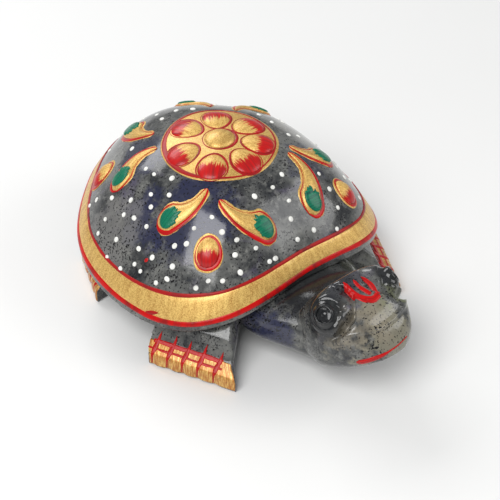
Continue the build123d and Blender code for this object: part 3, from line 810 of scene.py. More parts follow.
# %% [markdown]
# The eyes were cut with a hollow drill, which leaves a button with a ring round it.
# Pushing points would blur such a small crisp form. It is a turned form, so it is a
# profile spun round the line along which the eye looks: a low boss, a narrow
# groove, a ring, and a soft outer edge.

# %% The drilled eyes, and the head as one piece
EYE_PROFILE = (                  # radius, height over the eyeball
    (0.15, 0.50), (0.50, 0.44), (0.76, 0.20), (0.84, -0.45), (1.22, -0.50),
    (1.34, 0.35), (1.50, 0.72), (1.64, 0.76), (1.82, 0.50), (1.94, 0.0), (1.98, -1.5),
)
skins = [(head_points, head_faces)]
spin = full_turn(48)
for (middle, looking), seat in zip(EYES, seats):
    turned = np.array(Vector(looking).to_track_quat("Z", "Y").to_matrix())
    rings = []
    for radius, height in EYE_PROFILE:
        level = 0 * spin + seat + height
        ring = np.stack([radius * np.cos(spin), radius * np.sin(spin), level], -1)
        rings.append(ring @ turned.T + middle)
    skins.append(skin(rings))
points, faces = joined(skins)
piece("head_stone", points, faces, "stone", ["carved_stone"])
print("head_stone:", len(faces), "faces")

# %% [markdown]
# ## The feet
# A foot is a flat paddle with a straight toe edge, set at a slant. Its section
# goes up the toe, back over the instep and up the leg, and its ends draw in
# towards the ankle. Four feet modelled one by one would drift apart. One short
# class holds their shape, and each foot has only its own place, length and slant.
# The same class is used again below, to lay the gold and the red lines on the toes.

# %% The sizes of the feet
FEET = {                         # toe middle x and y, toe length, splay in degrees
    "front": (25.3, -14.0, 19.0, 26.2),
    "rear": (24.4, 20.6, 14.0, -22.0),
}
STROKES = {                      # where red lines cross the toes, counted towards the head
    "front": (-8.0, -4.8, -1.7, 1.5, 4.9),
    "rear": (-4.6, -1.5, 1.6, 4.7),
}
FOOT_DEPTH = 14.0                # from the toe edge to the end inside the body
INBOARD = np.array([0.0, 0.0, 0.10, 1.1, 2.4, 3.4, 4.4, 6.6, FOOT_DEPTH])
LEVEL = np.array([0.0, 2.3, 2.9, 3.6, 4.35, 5.7, 8.0, 10.0, 10.6])
PATH = np.concatenate([[0], np.cumsum(np.hypot(np.diff(INBOARD), np.diff(LEVEL)))])
SOLE_DEPTH = 4.4                 # how far in the flat sole goes
NOTCH_DEPTH = 0.42
NOTCH_WIDTH = 0.55
AHEAD_DEPTHS = (0, 0.05, 0.13, 0.36, 0.6, 1)          # shares of the foot's depth
AHEAD_REACH = (1.0, 0.95, 0.83, 0.62, 0.52, 0.45)     # shares of half the toe length
BACK_DEPTHS = (0, 0.05, 0.17, 0.36, 1)
BACK_REACH = (0.94, 1.0, 1.03, 1.03, 0.84)
print("toe to ankle along the skin:", round(float(PATH[-1]), 1), "mm")

# %% [markdown]
# The toe edge is notched where the red strokes cross it. The notches could be cut
# afterwards, but a point of the foot that already knows its notch keeps the paint
# and the stone together, because both ask the same function where the toe is.

# %% The four feet
class Foot:
    """One foot's own axes: along its toes towards the head, and inboard."""

    def __init__(self, side, end):
        x, y, self.length, splay = FEET[end]
        self.origin = np.array([side * x, y, 0.0])
        slant = radians(splay)
        self.inward = np.array([-side * cos(slant), sin(slant), 0.0])
        self.ahead = np.array([-side * sin(slant), -cos(slant), 0.0])
        self.strokes = STROKES[end]

    def along_toes(self, shares, inboard):
        """Places from the tail end, -1, to the head end, 1, at a depth in the foot."""
        depth = np.asarray(inboard) / FOOT_DEPTH
        ahead = np.interp(depth, AHEAD_DEPTHS, AHEAD_REACH) * self.length / 2
        back = np.interp(depth, BACK_DEPTHS, BACK_REACH) * self.length / 2
        return np.where(shares > 0, shares * ahead, shares * back)

    def point(self, ahead, path):
        """A place on the foot: millimetres towards the head, and up over the toe."""
        inboard = np.interp(path, PATH, INBOARD)
        level = np.interp(path, PATH, LEVEL)
        notch = sum(NOTCH_DEPTH * bell(ahead, stroke, NOTCH_WIDTH) for stroke in self.strokes)
        inboard = inboard + notch * np.clip(1 - level / 3.4, 0, 1)
        return (
            self.origin
            + self.inward * np.asarray(inboard)[..., None]
            + self.ahead * np.asarray(ahead)[..., None]
            + np.array([0.0, 0.0, 1.0]) * np.asarray(level)[..., None]
        )

    def skin(self):
        path = np.concatenate([np.linspace(0, PATH[6], 30), PATH[7:]])
        inboard = np.interp(path, PATH, INBOARD)
        sole_end = int(np.argmin(np.abs(inboard - SOLE_DEPTH)))
        rings = []
        for share in np.linspace(-1, 1, 48):
            ahead = self.along_toes(share, inboard)
            top = self.point(ahead, path)
            under = self.origin + self.ahead * np.array([[ahead[-1]], [ahead[sole_end]]])
            under = under + self.inward * np.array([[FOOT_DEPTH], [SOLE_DEPTH]])
            under[0, 2] = 5.0
            rings.append(np.concatenate([top, under]))
        return skin(rings)


feet = {}
for side, side_name in ((-1, "right"), (1, "left")):
    for end in ("front", "rear"):
        feet[end + "_" + side_name] = Foot(side, end)
print("feet:", ", ".join(feet))

# %% [markdown]
# ## Belly, tail and body
# Under the shell the stone is one rounded block with a stub of a tail, and the
# feet grow out of it. Joining them with booleans would leave a crease at each leg,
# where a carver works with a round tool. Melting gives the soft inner corners. The
# soles are then pressed flat on the floor, as they are ground on the real one.

# %% The belly, the tail and the body as one piece
BELLY_LEVELS = (2.4, 3.4, 5.2, 8.0, 13.0)
BELLY_SHARES = (0.50, 0.68, 0.79, 0.84, 0.86)         # of the shell's radius
TAIL_ROOT = np.array([0.0, 33.5, 8.7])
TAIL_RUN = np.array([0.0, 8.4, -3.2])
TAIL_RADIUS = 3.5
TAIL_TIP_RADIUS = 0.9

rings = []
for level in np.linspace(BELLY_LEVELS[0], BELLY_LEVELS[-1], 16):
    share = eased(BELLY_LEVELS, BELLY_SHARES, level)
    rings.append(plan_ring(share, lambda x, y: np.full_like(x, level), full_turn(TURNS // 2)))
belly_skin = skin(rings)

rings = []
spin = full_turn(32)
for share in np.linspace(0, 1, 12):
    radius = TAIL_RADIUS * (1 - share ** 2.2) + TAIL_TIP_RADIUS * share
    ring = np.stack([radius * np.cos(spin), 0 * spin, 0.85 * radius * np.sin(spin)], -1)
    rings.append(ring + TAIL_ROOT + TAIL_RUN * share)
tail_skin = skin(rings)

skins = [belly_skin, tail_skin] + [foot.skin() for foot in feet.values()]
body_points, body_faces = melted(skins, voxel=0.33, rounds=4)
body_points[:, 2] = np.clip(body_points[:, 2], 0.0, None)
piece("body_stone", body_points, body_faces, "stone", ["carved_stone"])
print("body_stone:", len(body_faces), "faces")

# %% [markdown]
# ## Paint on the shell
# Paint that stands up from the stone could be only a bump in the stone's material,
# but then its edge would cast no shadow. It is modelled as real, thin relief. Two
# forms do nearly all of it: a strip, which follows a line and changes width like a
# brush stroke, and a bead, which is a rounded drop of paint over an egg outline.
# Both lie on the dome's formula, and their edges dip just under the stone.

# %% A wobble, and strips of paint
ACROSS = np.array([-1.0, -0.97, -0.85, -0.6, -0.3, 0.0, 0.3, 0.6, 0.85, 0.97, 1.0])
DIP = -0.06                      # the edge of a sheet lies this far under the stone


def waver(at, seed, size, pace=1.0):
    """A smooth wobble along a line, the same each time for the same seed."""
    random = np.random.default_rng(seed)
    total = 0
    for number in range(1, 6):
        phase = random.uniform(0, 2 * pi)
        total = total + np.sin(np.asarray(at) * pace * number + phase) / number
    return size * total / 2


def lengths_along(line):
    """How far each point of a line lies from its first one."""
    gap = np.linalg.norm(np.diff(line, axis=0), axis=1)
    return np.concatenate([[0], np.cumsum(gap)])


def sides_of(line, loop=False):
    """At each point of a plan line, the unit direction to its left."""
    if loop:
        step = np.roll(line, -1, axis=0) - np.roll(line, 1, axis=0)
    else:
        step = np.gradient(line, axis=0)
    step = step / np.linalg.norm(step, axis=1, keepdims=True)
    return np.stack([-step[:, 1], step[:, 0]], -1)


def strip(name, line, half_widths, base, crown, finish, nodes, loop=False, seed=0):
    """A stroke along a plan line: base is its lift at the sides, crown what it gains."""
    half = np.broadcast_to(half_widths, len(line))
    places = line[None] + sides_of(line, loop)[None] * (half * ACROSS[:, None])[..., None]
    full = np.clip(half / max(half.max(), 0.01), 0, 1) ** 0.6
    lift = base + crown * full[None, :] * np.sqrt(1 - ACROSS ** 2)[:, None]
    lift[0] = lift[-1] = DIP
    marks = brush_marks(lengths_along(line)[None, :], ACROSS[:, None] * half.max(), seed)
    sheet = on_dome(places[..., 0], places[..., 1], lift)
    sheet_piece(name, sheet, finish, nodes, marks, loop)


print("rows across a strip:", len(ACROSS))

# %% [markdown]
# A bead is drawn in rings from its middle to its edge, with the rings closer
# together near the edge, where it curves down most. A flattened ball would be
# quicker, but half of it would be lost in the stone and its edge wouldn't follow
# the dome.

# %% Beads of paint
BEAD_SHARES = np.array(
    [0.02, 0.15, 0.3, 0.45, 0.6, 0.72, 0.82, 0.90, 0.955, 0.985, 1.0, 1.0])


def turned_about(centre, turned, along, across):
    """Plan places, from distances along and across a line that leaves the centre."""
    x = centre[0] + along * cos(turned) - across * sin(turned)
    y = centre[1] + along * sin(turned) + across * cos(turned)
    return x, y


def bead(name, centre, turned=0.0, length=1.0, width=1.0, taper=0.0, base=0.0, crown=0.1,
         power=2.4, finish="gold", nodes=(), seed=0, edge=0.0):
    """A rounded bead: its length lies at an angle, and its narrow end is the near one."""
    spin = full_turn(56)
    ragged = 1 + waver(spin, seed + 50, edge, 2)
    bulge = 1 + taper * np.cos(spin)
    along = BEAD_SHARES[:, None] * (length / 2 * np.cos(spin) * ragged)
    across = BEAD_SHARES[:, None] * (width / 2 * np.sin(spin) * bulge * ragged)
    lift = base + crown * (1 - BEAD_SHARES ** power) ** 0.62
    lift[-1] = DIP
    x, y = turned_about(centre, turned, along, across)
    sheet = on_dome(x, y, np.broadcast_to(lift[:, None], x.shape))
    marks = brush_marks(along / length + 0.5, across / width, seed)
    sheet_piece(name, sheet, finish, nodes, marks, closed=True)


print("rings in a bead:", len(BEAD_SHARES))

# %% [markdown]
# ## The rim
# A gold band runs round the shell between two red lines. The band was filled in
# first and the lines drawn over its edges by hand, so their widths waver. An even
# sweep round the rim would look printed. So each edge is a table of distances at
# angles round the rim, smoothed, and a small wobble on top of that.

# %% Where the two red lines run
RIM_STEPS = 420
RIM_SOFTNESS = 14                # steps on each side that a value is averaged over


def round_rim(table):
    """A smooth closed curve of values round the rim, from angles in degrees and values."""
    angles, values = np.array(table).T
    level = np.interp(full_turn(RIM_STEPS), np.radians(angles) % (2 * pi), values,
                      period=2 * pi)
    shifts = range(-RIM_SOFTNESS, RIM_SOFTNESS + 1)
    return sum(np.roll(level, shift) for shift in shifts) / len(shifts)


TOP_LINE = round_rim((           # millimetres from the rim's edge to the upper red line
    (-180, -4.8), (-156, -5.5), (-143, -6.0), (-128, -5.3), (-110, -4.4), (-90, -4.1),
    (-70, -4.5), (-45, -5.2), (0, -5.6), (45, -5.6), (90, -5.2), (135, -4.7), (160, -4.6),
))
LOW_LINE = round_rim((           # and to the lower one
    (-180, -0.50), (-158, -0.45), (-141, -0.35), (-110, -0.20), (-92, -0.30), (-78, -0.80),
    (-63, -0.75), (-47, -0.30), (0, -0.30), (135, -0.45),
))
print("gold band, mm wide:", round(float(np.ptp([TOP_LINE.mean(), LOW_LINE.mean()])), 1))

# %% [markdown]
# All three are the same form, paint between two wavering edges, so one function
# makes them. The lines overlap the band a little and stand slightly higher, as they
# do when they are painted last. Cutting the band to fit them would only open gaps.

# %% The rim band and its two lines
RIM_WAVER = 0.11


def rim_band(name, upper, lower, lift, finish, seed):
    """Paint between two distances from the rim's edge, each one a wavering line."""
    spin = full_turn(RIM_STEPS)
    upper = upper + waver(spin, seed, RIM_WAVER, 5)
    lower = lower + waver(spin, seed + 1, RIM_WAVER, 5)
    middle = (upper + lower) / 2
    half = (lower - upper) / 2
    rows = []
    for share in ACROSS:
        height = lift * (1 - abs(share) ** 6) if abs(share) < 1 else DIP
        rows.append(from_rim(spin, middle + half * share, height))
    marks = brush_marks(ACROSS[:, None] * half.max(), spin[None, :] * 5.0, seed)
    sheet_piece(name, np.array(rows), finish, [name], marks, closed=True)


BAND_LIFT = 0.16
LINE_LIFT = 0.18
rim_band("rim_gold_band", TOP_LINE + 0.10, LOW_LINE - 0.10, BAND_LIFT, "gold", seed=3)
rim_band("rim_upper_line", TOP_LINE - 0.40, TOP_LINE + 0.32, LINE_LIFT, "dark_red", seed=5)
rim_band("rim_lower_line", LOW_LINE - 0.62, LOW_LINE + 0.58, LINE_LIFT, "red", seed=8)
print("rim bands: 3")

# %% [markdown]
# At one place the wet lower line was smeared up over the gold. A mask in the gold's
# material would need the place's coordinates in the shader. A small lens of red,
# just thicker than the line, is simpler.

# %% The smear on the rim band
SMEAR_STEPS = 30
smear_angle = np.linspace(-2.72, -2.63, SMEAR_STEPS)  # round the rim
smear_run = np.linspace(-1.0, -1.7, SMEAR_STEPS)      # up from the edge
smear_half = 0.55 * np.sin(np.linspace(0.15, pi - 0.1, SMEAR_STEPS)) ** 0.7
rows = []
for share in ACROSS:
    height = 0.25 * (1 - abs(share) ** 4) - 0.02
    rows.append(from_rim(smear_angle, smear_run + smear_half * share, height))
marks = brush_marks(ACROSS[:, None], smear_angle[None, :], 4)
sheet_piece("rim_smear", np.array(rows), "dark_red", (), marks)
print("smear on the rim: 1")

# %% [markdown]
# ## The medallion
# A gold disc with a red ring carries a gold boss and seven petals. Each petal is a
# bead whose outer end was dabbed red while the gold still showed between the
# bristles. The red round each petal is one stroke that swells on one side. An array
# of equal petals would be quicker to make, but a painter sets them by hand, so the
# centres are a list and the strokes turn a little from petal to petal.

# %% The medallion on the crown
MEDALLION = np.array([-0.3, 7.8])


def egg_line(centre, turned=0.0, length=1.0, width=1.0, taper=0.0, count=90):
    """A closed line along an egg outline, and the angle of each of its points."""
    spin = full_turn(count)
    along = length / 2 * np.cos(spin)
    across = width / 2 * np.sin(spin) * (1 + taper * np.cos(spin))
    return np.stack(turned_about(centre, turned, along, across), -1), spin


bead("medallion_gold_disc", MEDALLION, length=22.6, width=22.6, base=0.05, crown=0.12,
     power=14, finish="gold", nodes=["medallion_gold_disc"], seed=11, edge=0.012)
line, spin = egg_line(MEDALLION, length=21.3, width=21.3, count=160)
widths = 0.27 + 0.15 * np.cos(spin - 2.6) + 0.07 * np.cos(2 * spin - 5.6)
strip("medallion_red_ring", line, widths, base=0.16, crown=0.09, finish="dark_red",
      nodes=["medallion_red_ring"], loop=True, seed=12)
line, spin = egg_line(MEDALLION, length=6.7, width=6.4)
widths = 0.21 + 0.13 * np.cos(spin + 0.9)
strip("medallion_boss_outline", line, widths, base=0.17, crown=0.08, finish="dark_red",
      nodes=["medallion_boss_outline"], loop=True, seed=13)
bead("medallion_boss", MEDALLION, turned=0.3, length=6.0, width=5.8, base=0.17, crown=1.0,
     power=2.2, finish="gold", nodes=["medallion_boss"], seed=14)
print("medallion disc, ring, boss and outline: 4")

# %% [markdown]
# A petal could be one mesh copied seven times. These are all dabs of the same brush,
# but each has a seed of its own, so the red end and the swelling of the outline
# differ a little from one petal to the next.

# %% The petals
PETALS = (                       # listed one by one, so no two gaps are the same
    (-0.3, 0.1), (4.8, 2.5), (6.7, 8.0), (3.2, 13.3), (-2.9, 14.6), (-8.0, 9.2), (-6.3, 2.5),
)
for number, centre in enumerate(PETALS):
    turned = atan2(centre[1] - MEDALLION[1], centre[0] - MEDALLION[0])
    name = "petal_" + str(number + 1)
    bead(name, centre, turned, length=6.1, width=5.4, taper=0.20, base=0.17, crown=0.66,
         power=2.3, finish="gold_to_red", nodes=[name], seed=20 + number)
    line, spin = egg_line(centre, turned, length=6.6, width=5.9, taper=0.18)
    widths = 0.17 + 0.12 * np.cos(spin + 1.3 + 0.3 * number) + waver(spin, number, 0.03, 2)
    strip("petal_outline_" + str(number + 1), line, widths, base=0.17, crown=0.08,
          finish="dark_red", nodes=["petal_outlines"], loop=True, seed=30 + number)
print("petals:", len(PETALS))

# %% [markdown]
# ## The leaves
# Over each foot stand two leaves. A leaf is a comma: a round bulb that bends into a
# thin tail. It could be cut from a plane and inflated. It is built up in the
# painter's own order instead, because the layers show at its edges: a rough gold
# ground, a red line that thickens along its outer side, a gold body in relief, and
# a dab of green on the bulb with a bristly edge.

# %% The comma form of a leaf
BULB_RADIUS = 2.05
TAIL_END = 1.06                  # the tail runs on a little past its own place


def comma(bulb, tail, bow, grow, count=44):
    """The middle line and half widths of a leaf, from behind its bulb to its tail."""
    bulb = np.asarray(bulb, float)
    run = np.asarray(tail, float) - bulb
    length = float(np.hypot(*run))
    ahead = run / length
    aside = np.array([-ahead[1], ahead[0]])
    t = np.linspace(-BULB_RADIUS / length, TAIL_END, count)
    bowed = 4 * bow * length * t * (1 - t)
    line = bulb + ahead * (t * length)[:, None] + aside * bowed[:, None]
    behind = np.clip(t, None, 0) * length
    round_end = np.sqrt(np.clip(BULB_RADIUS ** 2 - behind ** 2, 0, None))
    body = BULB_RADIUS * (1 - 0.84 * np.clip(t, 0, 1) ** 0.8)
    point = np.sqrt(np.clip((TAIL_END - t) / 0.08, 0, 1))
    half = np.where(t < 0, round_end, body * point)
    end = np.clip(np.minimum(t - t[0], t[-1] - t) * length, 0, 0.5) / 0.5
    return line, half + grow * np.sqrt(end) * np.where(half > 0.01, 1, 0) + 0.01


def outline_of(line, half, count=120, rounds=3):
    """A closed line round a strip: down one edge and back up the other, smoothed."""
    side = sides_of(line) * half[:, None]
    edge = np.concatenate([line + side, (line - side)[::-1], (line + side)[:1]])
    along = lengths_along(edge)
    even = np.linspace(0, along[-1], count, endpoint=False)
    edge = np.stack([np.interp(even, along, edge[:, i]) for i in (0, 1)], -1)
    for _ in range(rounds):
        edge = (np.roll(edge, 1, axis=0) + 2 * edge + np.roll(edge, -1, axis=0)) / 4
    return edge


print("leaf form ready")

# %% [markdown]
# The green dab could be a second colour in the leaf's own material. But it lies over
# the gold as a thick drop, and its edge catches the light, so it is a sheet of its
# own. Its bristle marks are a wobble that only the side towards the tail has.

# %% A leaf in its four layers
DAB_RADIUS = 1.52
DAB_PULL = 0.50                  # how much further the dab reaches towards the tail
DAB_BACK = 0.45                  # it was set down this far behind the bulb's middle
DAB_SHARES = np.array([0.02, 0.2, 0.4, 0.6, 0.75, 0.88, 0.96, 1.0, 1.0])


def green_dab(name, bulb, towards, seed):
    """Green over the round end, pulled out into bristle marks towards the tail."""
    spin = np.linspace(-pi, pi, 96, endpoint=False)
    bristles = waver(spin, seed, 0.45, 7) + waver(spin, seed, 0.3, 17)
    reach = DAB_RADIUS + DAB_PULL * bell(spin, 0, 0.9) + bell(spin, 0, 1.0) * bristles
    lean = atan2(towards[1] - bulb[1], towards[0] - bulb[0])
    middle = (bulb[0] - DAB_BACK * cos(lean), bulb[1] - DAB_BACK * sin(lean))
    x = middle[0] + DAB_SHARES[:, None] * (reach * np.cos(spin + lean))
    y = middle[1] + DAB_SHARES[:, None] * (reach * np.sin(spin + lean))
    lift = 0.66 + 0.28 * (1 - DAB_SHARES ** 3) ** 0.5
    lift[-1] = 0.25
    sheet = on_dome(x, y, np.broadcast_to(lift[:, None], x.shape))
    marks = brush_marks(x - middle[0], y - middle[1], seed)
    sheet_piece(name, sheet, "green", [name], marks, closed=True)


def leaf(name, bulb, tail, bow, seed):
    line, half = comma(bulb, tail, bow, grow=0.58)
    half = half + waver(half * 3, seed, 0.12, 3)
    strip(name + "_ground", line, half, base=0.03, crown=0.08, finish="gold",
          nodes=[name + "_outline"], seed=seed)
    edge = outline_of(*comma(bulb, tail, bow, grow=0.12))
    place = full_turn(len(edge))
    widths = 0.21 + 0.17 * np.cos(place - copysign(1.5, bow)) + waver(place, seed, 0.04, 3)
    strip(name + "_outline", edge, widths, base=0.12, crown=0.10, finish="red",
          nodes=[name + "_outline"], loop=True, seed=seed + 1)
    line, half = comma(bulb, tail, bow, grow=-0.12)
    strip(name, line, np.clip(half, 0.05, None), base=0.10, crown=0.62, finish="gold",
          nodes=[name], seed=seed + 2)
    green_dab(name + "_bulb", bulb, line[len(line) // 2], seed + 3)


print("leaf layers ready")

# %% [markdown]
# The leaves could be mirrored from one corner. On the real shell the two front
# pairs don't match, so each leaf has its own bulb and tail, and only the bend is
# shared. The rear pairs are nearly mirror images.

# %% The eight leaves
BOW = 0.16                       # how far a leaf bends, as a share of its length
LEAVES = {                       # bulb and tail of the side leaf, and of the end leaf
    "front_right": ((-17.3, 0.9), (-10.5, -0.8), (-5.4, -10.9), (-9.7, -4.4)),
    "front_left": ((16.3, -2.6), (10.6, -0.6), (7.1, -10.7), (8.9, -2.4)),
    "rear_right": ((-16.8, 17.0), (-10.2, 15.4), (-6.8, 27.4), (-7.4, 20.2)),
    "rear_left": ((16.8, 17.0), (9.9, 15.4), (6.8, 27.4), (7.0, 20.2)),
}
for number, (corner, (side_bulb, side_tail, end_bulb, end_tail)) in enumerate(LEAVES.items()):
    bend = BOW if corner in ("front_left", "rear_right") else -BOW
    leaf("side_leaf_" + corner, side_bulb, side_tail, bend, 100 + 10 * number)
    leaf("end_leaf_" + corner, end_bulb, end_tail, -bend, 105 + 10 * number)
print("leaves:", 2 * len(LEAVES))

# %% [markdown]
# ## The drops
# A drop stands below each pair of leaves. It is made as a petal is, a bead with a
# red end, but it has a rough gold ground of its own like a leaf, because here there
# is no disc of gold under it. Reusing the two forms keeps all the ornament in one
# hand.

# %% The drops
def drop(name, centre, seed):
    turned = atan2(centre[1] - CENTRE_Y, centre[0])
    bead(name + "_ground", centre, turned, length=5.0, width=5.7, taper=0.1, base=0.03,
         crown=0.08, power=12, finish="gold", nodes=[name + "_outline"], seed=seed, edge=0.05)
    line, spin = egg_line(centre, turned, length=4.2, width=4.7, taper=0.1)
    widths = 0.20 + 0.09 * np.cos(spin - 1.0) + waver(spin, seed, 0.04, 3)
    strip(name + "_outline", line, widths, base=0.12, crown=0.10, finish="red",
          nodes=[name + "_outline"], loop=True, seed=seed + 1)
    bead(name, centre, turned, length=3.8, width=4.2, taper=0.1, base=0.12, crown=0.95,
         power=2.3, finish="gold_to_red", nodes=[name], seed=seed + 2)


DROPS = {
    "front_right": (-16.2, -8.5),
    "front_left": (16.4, -10.1),
    "rear_right": (-16.3, 24.9),
    "rear_left": (16.3, 24.9),
}
for number, (corner, centre) in enumerate(DROPS.items()):
    drop("drop_" + corner, centre, 200 + 10 * number)
print("drops:", len(DROPS))

# %% [markdown]
# ## White dots
# The stone between the ornaments is sown with small white dots, set down with the point of a
# brush. Scattering them at random would put some on the ornament and leave bald spots, so their
# places are listed one by one, in half millimetres.

# %% White dots
DOTS = (
    (-21.0, 21.0), (-20.5, 16.0), (-21.5, 22.5), (-19.5, 11.0), (-17.0, 8.0), (-18.5, 6.0),
    (-15.0, 4.5), (-23.0, 14.5), (-21.5, 10.5), (-21.0, 8.0), (-20.5, 4.5), (-25.0, 14.5),
    (-24.5, 9.5), (-26.5, 9.5), (-23.5, 3.5), (-23.0, 0.0), (-25.0, 3.0), (-26.5, 5.5),
    (-25.0, 1.0), (-23.0, -4.5), (-21.5, -4.5), (-24.5, -3.0), (-19.5, -3.0), (-18.0, -4.5),
    (-16.0, -4.0), (-12.5, -5.0), (-12.5, -8.0), (-11.0, -10.5), (-12.5, -12.0), (-13.0, -14.0),
    (-8.5, -13.0), (-3.5, -6.5), (-18.5, -11.0), (-20.5, -10.0), (-7.0, -15.0), (-16.5, -13.0),
    (-13.0, 6.5), (-14.0, 10.5), (-14.0, 13.0), (-10.0, 31.5), (-11.5, 21.5), (-2.0, 26.0),
    (-3.0, 22.5), (0.5, 23.0), (3.0, 20.5), (9.0, 21.0), (-2.5, 30.0), (13.5, 8.5),
    (18.0, 10.5), (13.5, 3.5), (16.5, 4.0), (4.0, -5.5), (1.0, -6.5), (2.5, -9.5),
    (1.0, -12.0), (4.5, -14.5), (12.5, -10.0), (12.0, -13.0), (9.5, -15.5), (21.0, -9.5),
    (20.0, -6.0), (21.5, -1.0), (0.5, -14.5), (-5.5, -15.0), (22.0, 5.0), (24.5, 9.0),
    (20.0, 20.5), (22.5, 13.0), (25.0, 4.5), (25.5, 13.0), (24.0, 17.5), (22.0, 22.5),
    (12.0, 24.0), (13.0, 12.0), (20.5, -3.0), (23.0, -4.5), (12.0, -7.0), (19.5, 13.5),
    (24.0, 1.0), (11.5, 30.5), (3.0, 31.0), (5.0, 27.0), (-6.5, 33.0), (12.5, 21.0),
)
print("places for dots:", len(DOTS))

# %% [markdown]
# Eighty separate objects would be slow to draw, so all the dots are one mesh. Each
# is a low cap of a few rings, with its own size, height and stretch. On the steep
# sides a dot must be measured along the slope, or it would come out as a long drop.

# %% The white dots as one piece
DOT_RINGS = (0.05, 0.35, 0.65, 0.88, 1.0)             # shares of the dot's radius
DOT_POINTS = 16


def near_on_dome(centre, u, v):
    """Plan places u, v millimetres from a centre, measured on the sloping surface."""
    normal = dome_normal(np.float64(centre[0]), np.float64(centre[1]))
    flat = max(float(np.hypot(normal[0], normal[1])), 1e-6)
    downhill = normal[:2] / flat
    along = u * downhill[0] + v * downhill[1]
    shrink = (normal[2] - 1.0) * along
    return centre[0] + u + shrink * downhill[0], centre[1] + v + shrink * downhill[1]


random = np.random.default_rng(7)
points = []
faces = []
marks = []
spin = full_turn(DOT_POINTS)
for x, y in DOTS:
    radius = random.uniform(0.44, 0.60)
    stretch = random.uniform(0.90, 1.10)
    x += random.uniform(-0.2, 0.2)
    y += random.uniform(-0.2, 0.2)
    height = random.uniform(0.18, 0.28)
    start = len(points)
    for share in DOT_RINGS:
        lift = height * sqrt(1 - share ** 2) if share < 1 else -0.05
        around = near_on_dome((x, y), share * radius * stretch * np.cos(spin),
                              share * radius / stretch * np.sin(spin))
        points += on_dome(*around, np.full(DOT_POINTS, lift)).tolist()
        marks += [(angle, share, x) for angle in spin]
    faces += grid_faces(len(DOT_RINGS), DOT_POINTS, start, closed=True)
    faces.append(tuple(range(start, start + DOT_POINTS)))
piece("white_dots", points, facing_out(points, faces), "white", (), marks)
bead("stray_red_dot", (-23.6, 0.9), turned=0.5, length=0.5, width=0.8, base=0.0,
     crown=0.14, finish="red", seed=3)
print("white dots:", len(DOTS))

# %% [markdown]
# ## Paint on the carved stone
# The head and feet have no formula, so their paint is laid on from listed places. A shrinkwrap
# modifier could do that, but it would lose the paint's thickness. Here each guessed place is
# moved to the nearest place on the stone, and then lifted along the way that the paint sheet
# itself faces.

# %% Laying paint on the carved stone
DEEP_DIP = -0.12                 # the melted stone is coarser, so edges go deeper


def tree_of(points, faces):
    return BVHTree.FromPolygons([Vector(p) for p in points], faces)


BODY = tree_of(body_points, body_faces)
HEAD = tree_of(head_points, head_faces)


def laid(stone, guesses, lift, aim=None):
    """A grid of guessed places, moved on to the stone and lifted, its edges tucked in."""
    seated = np.empty_like(guesses)
    for index in np.ndindex(guesses.shape[:2]):
        guess = Vector(guesses[index])
        found = None
        if aim is not None:
            found = stone.ray_cast(guess - Vector(aim) * 8, Vector(aim))[0]
        if found is None:
            found = stone.find_nearest(guess)[0]
        seated[index] = found
    normal = np.cross(np.gradient(seated, axis=0), np.gradient(seated, axis=1))
    normal /= np.linalg.norm(normal, axis=-1, keepdims=True) + 1e-9
    outward = seated - INSIDE * np.array([0.0, 1.0, 0.3])
    if (normal * outward).sum() < 0:
        normal = -normal
    lift = np.broadcast_to(lift, guesses.shape[:2]).copy()
    lift[0] = lift[-1] = DEEP_DIP
    lift[:, 0] = lift[:, -1] = DEEP_DIP
    return seated + normal * lift[..., None]


def laid_strip(name, stone, line, sideways, half_widths, lift, nodes, aim=None, seed=0):
    """A flat-topped red stroke on the carved stone, along a line of guessed places."""
    across = ACROSS[1:-1]
    half = np.broadcast_to(half_widths, len(line))
    guesses = line[None] + sideways[None] * (half[None] * across[:, None])[..., None]
    sheet = laid(stone, guesses, (lift * (1 - across ** 6))[:, None], aim)
    marks = brush_marks(np.linspace(0, 6, len(line))[None], across[:, None], seed)
    sheet_piece(name, sheet, "red", nodes, marks)


print("laying paint ready")

# %% [markdown]
# ## Gilded toes
# Gold covers the toe edge and comes a little way over the instep, with a ragged
# upper edge. A second material on the foot itself would show the colour, but it
# would have no thickness. A sheet of its own has a real edge, and it follows the
# notches between the toes.

# %% The gilding of a foot
GOLD_START = 0.25                # along the path over the toe
GOLD_END = PATH[4] + 0.1
GILDING_LIFT = 0.15


def gilding(name, foot, number):
    shares = np.linspace(-1, 1, 110)
    steps = np.linspace(GOLD_START, GOLD_END, 36)
    rows = []
    for step in steps:
        ahead = foot.along_toes(shares, np.interp(step, PATH, INBOARD)) * 0.985
        top_share = (step - steps[0]) / (steps[-1] - steps[0])
        path = step + top_share * waver(ahead, 300 + number, 0.22, 0.8)
        rows.append(foot.point(ahead, path))
    sheet = laid(BODY, np.array(rows), GILDING_LIFT)
    marks = brush_marks(steps[:, None], shares[None] * foot.length, number)
    sheet_piece("gilding_" + name, sheet, "worn_gold", ["gilding_" + name], marks)


print("gold over the toe, mm:", round(float(GOLD_END - GOLD_START), 1))

# %% [markdown]
# Over the gold go two long red lines, and short strokes between the toes that run
# off the gold on to the bare stone. A stroke is thin where the brush lands, thick
# where it crosses the long lines, and thin again where it leaves.

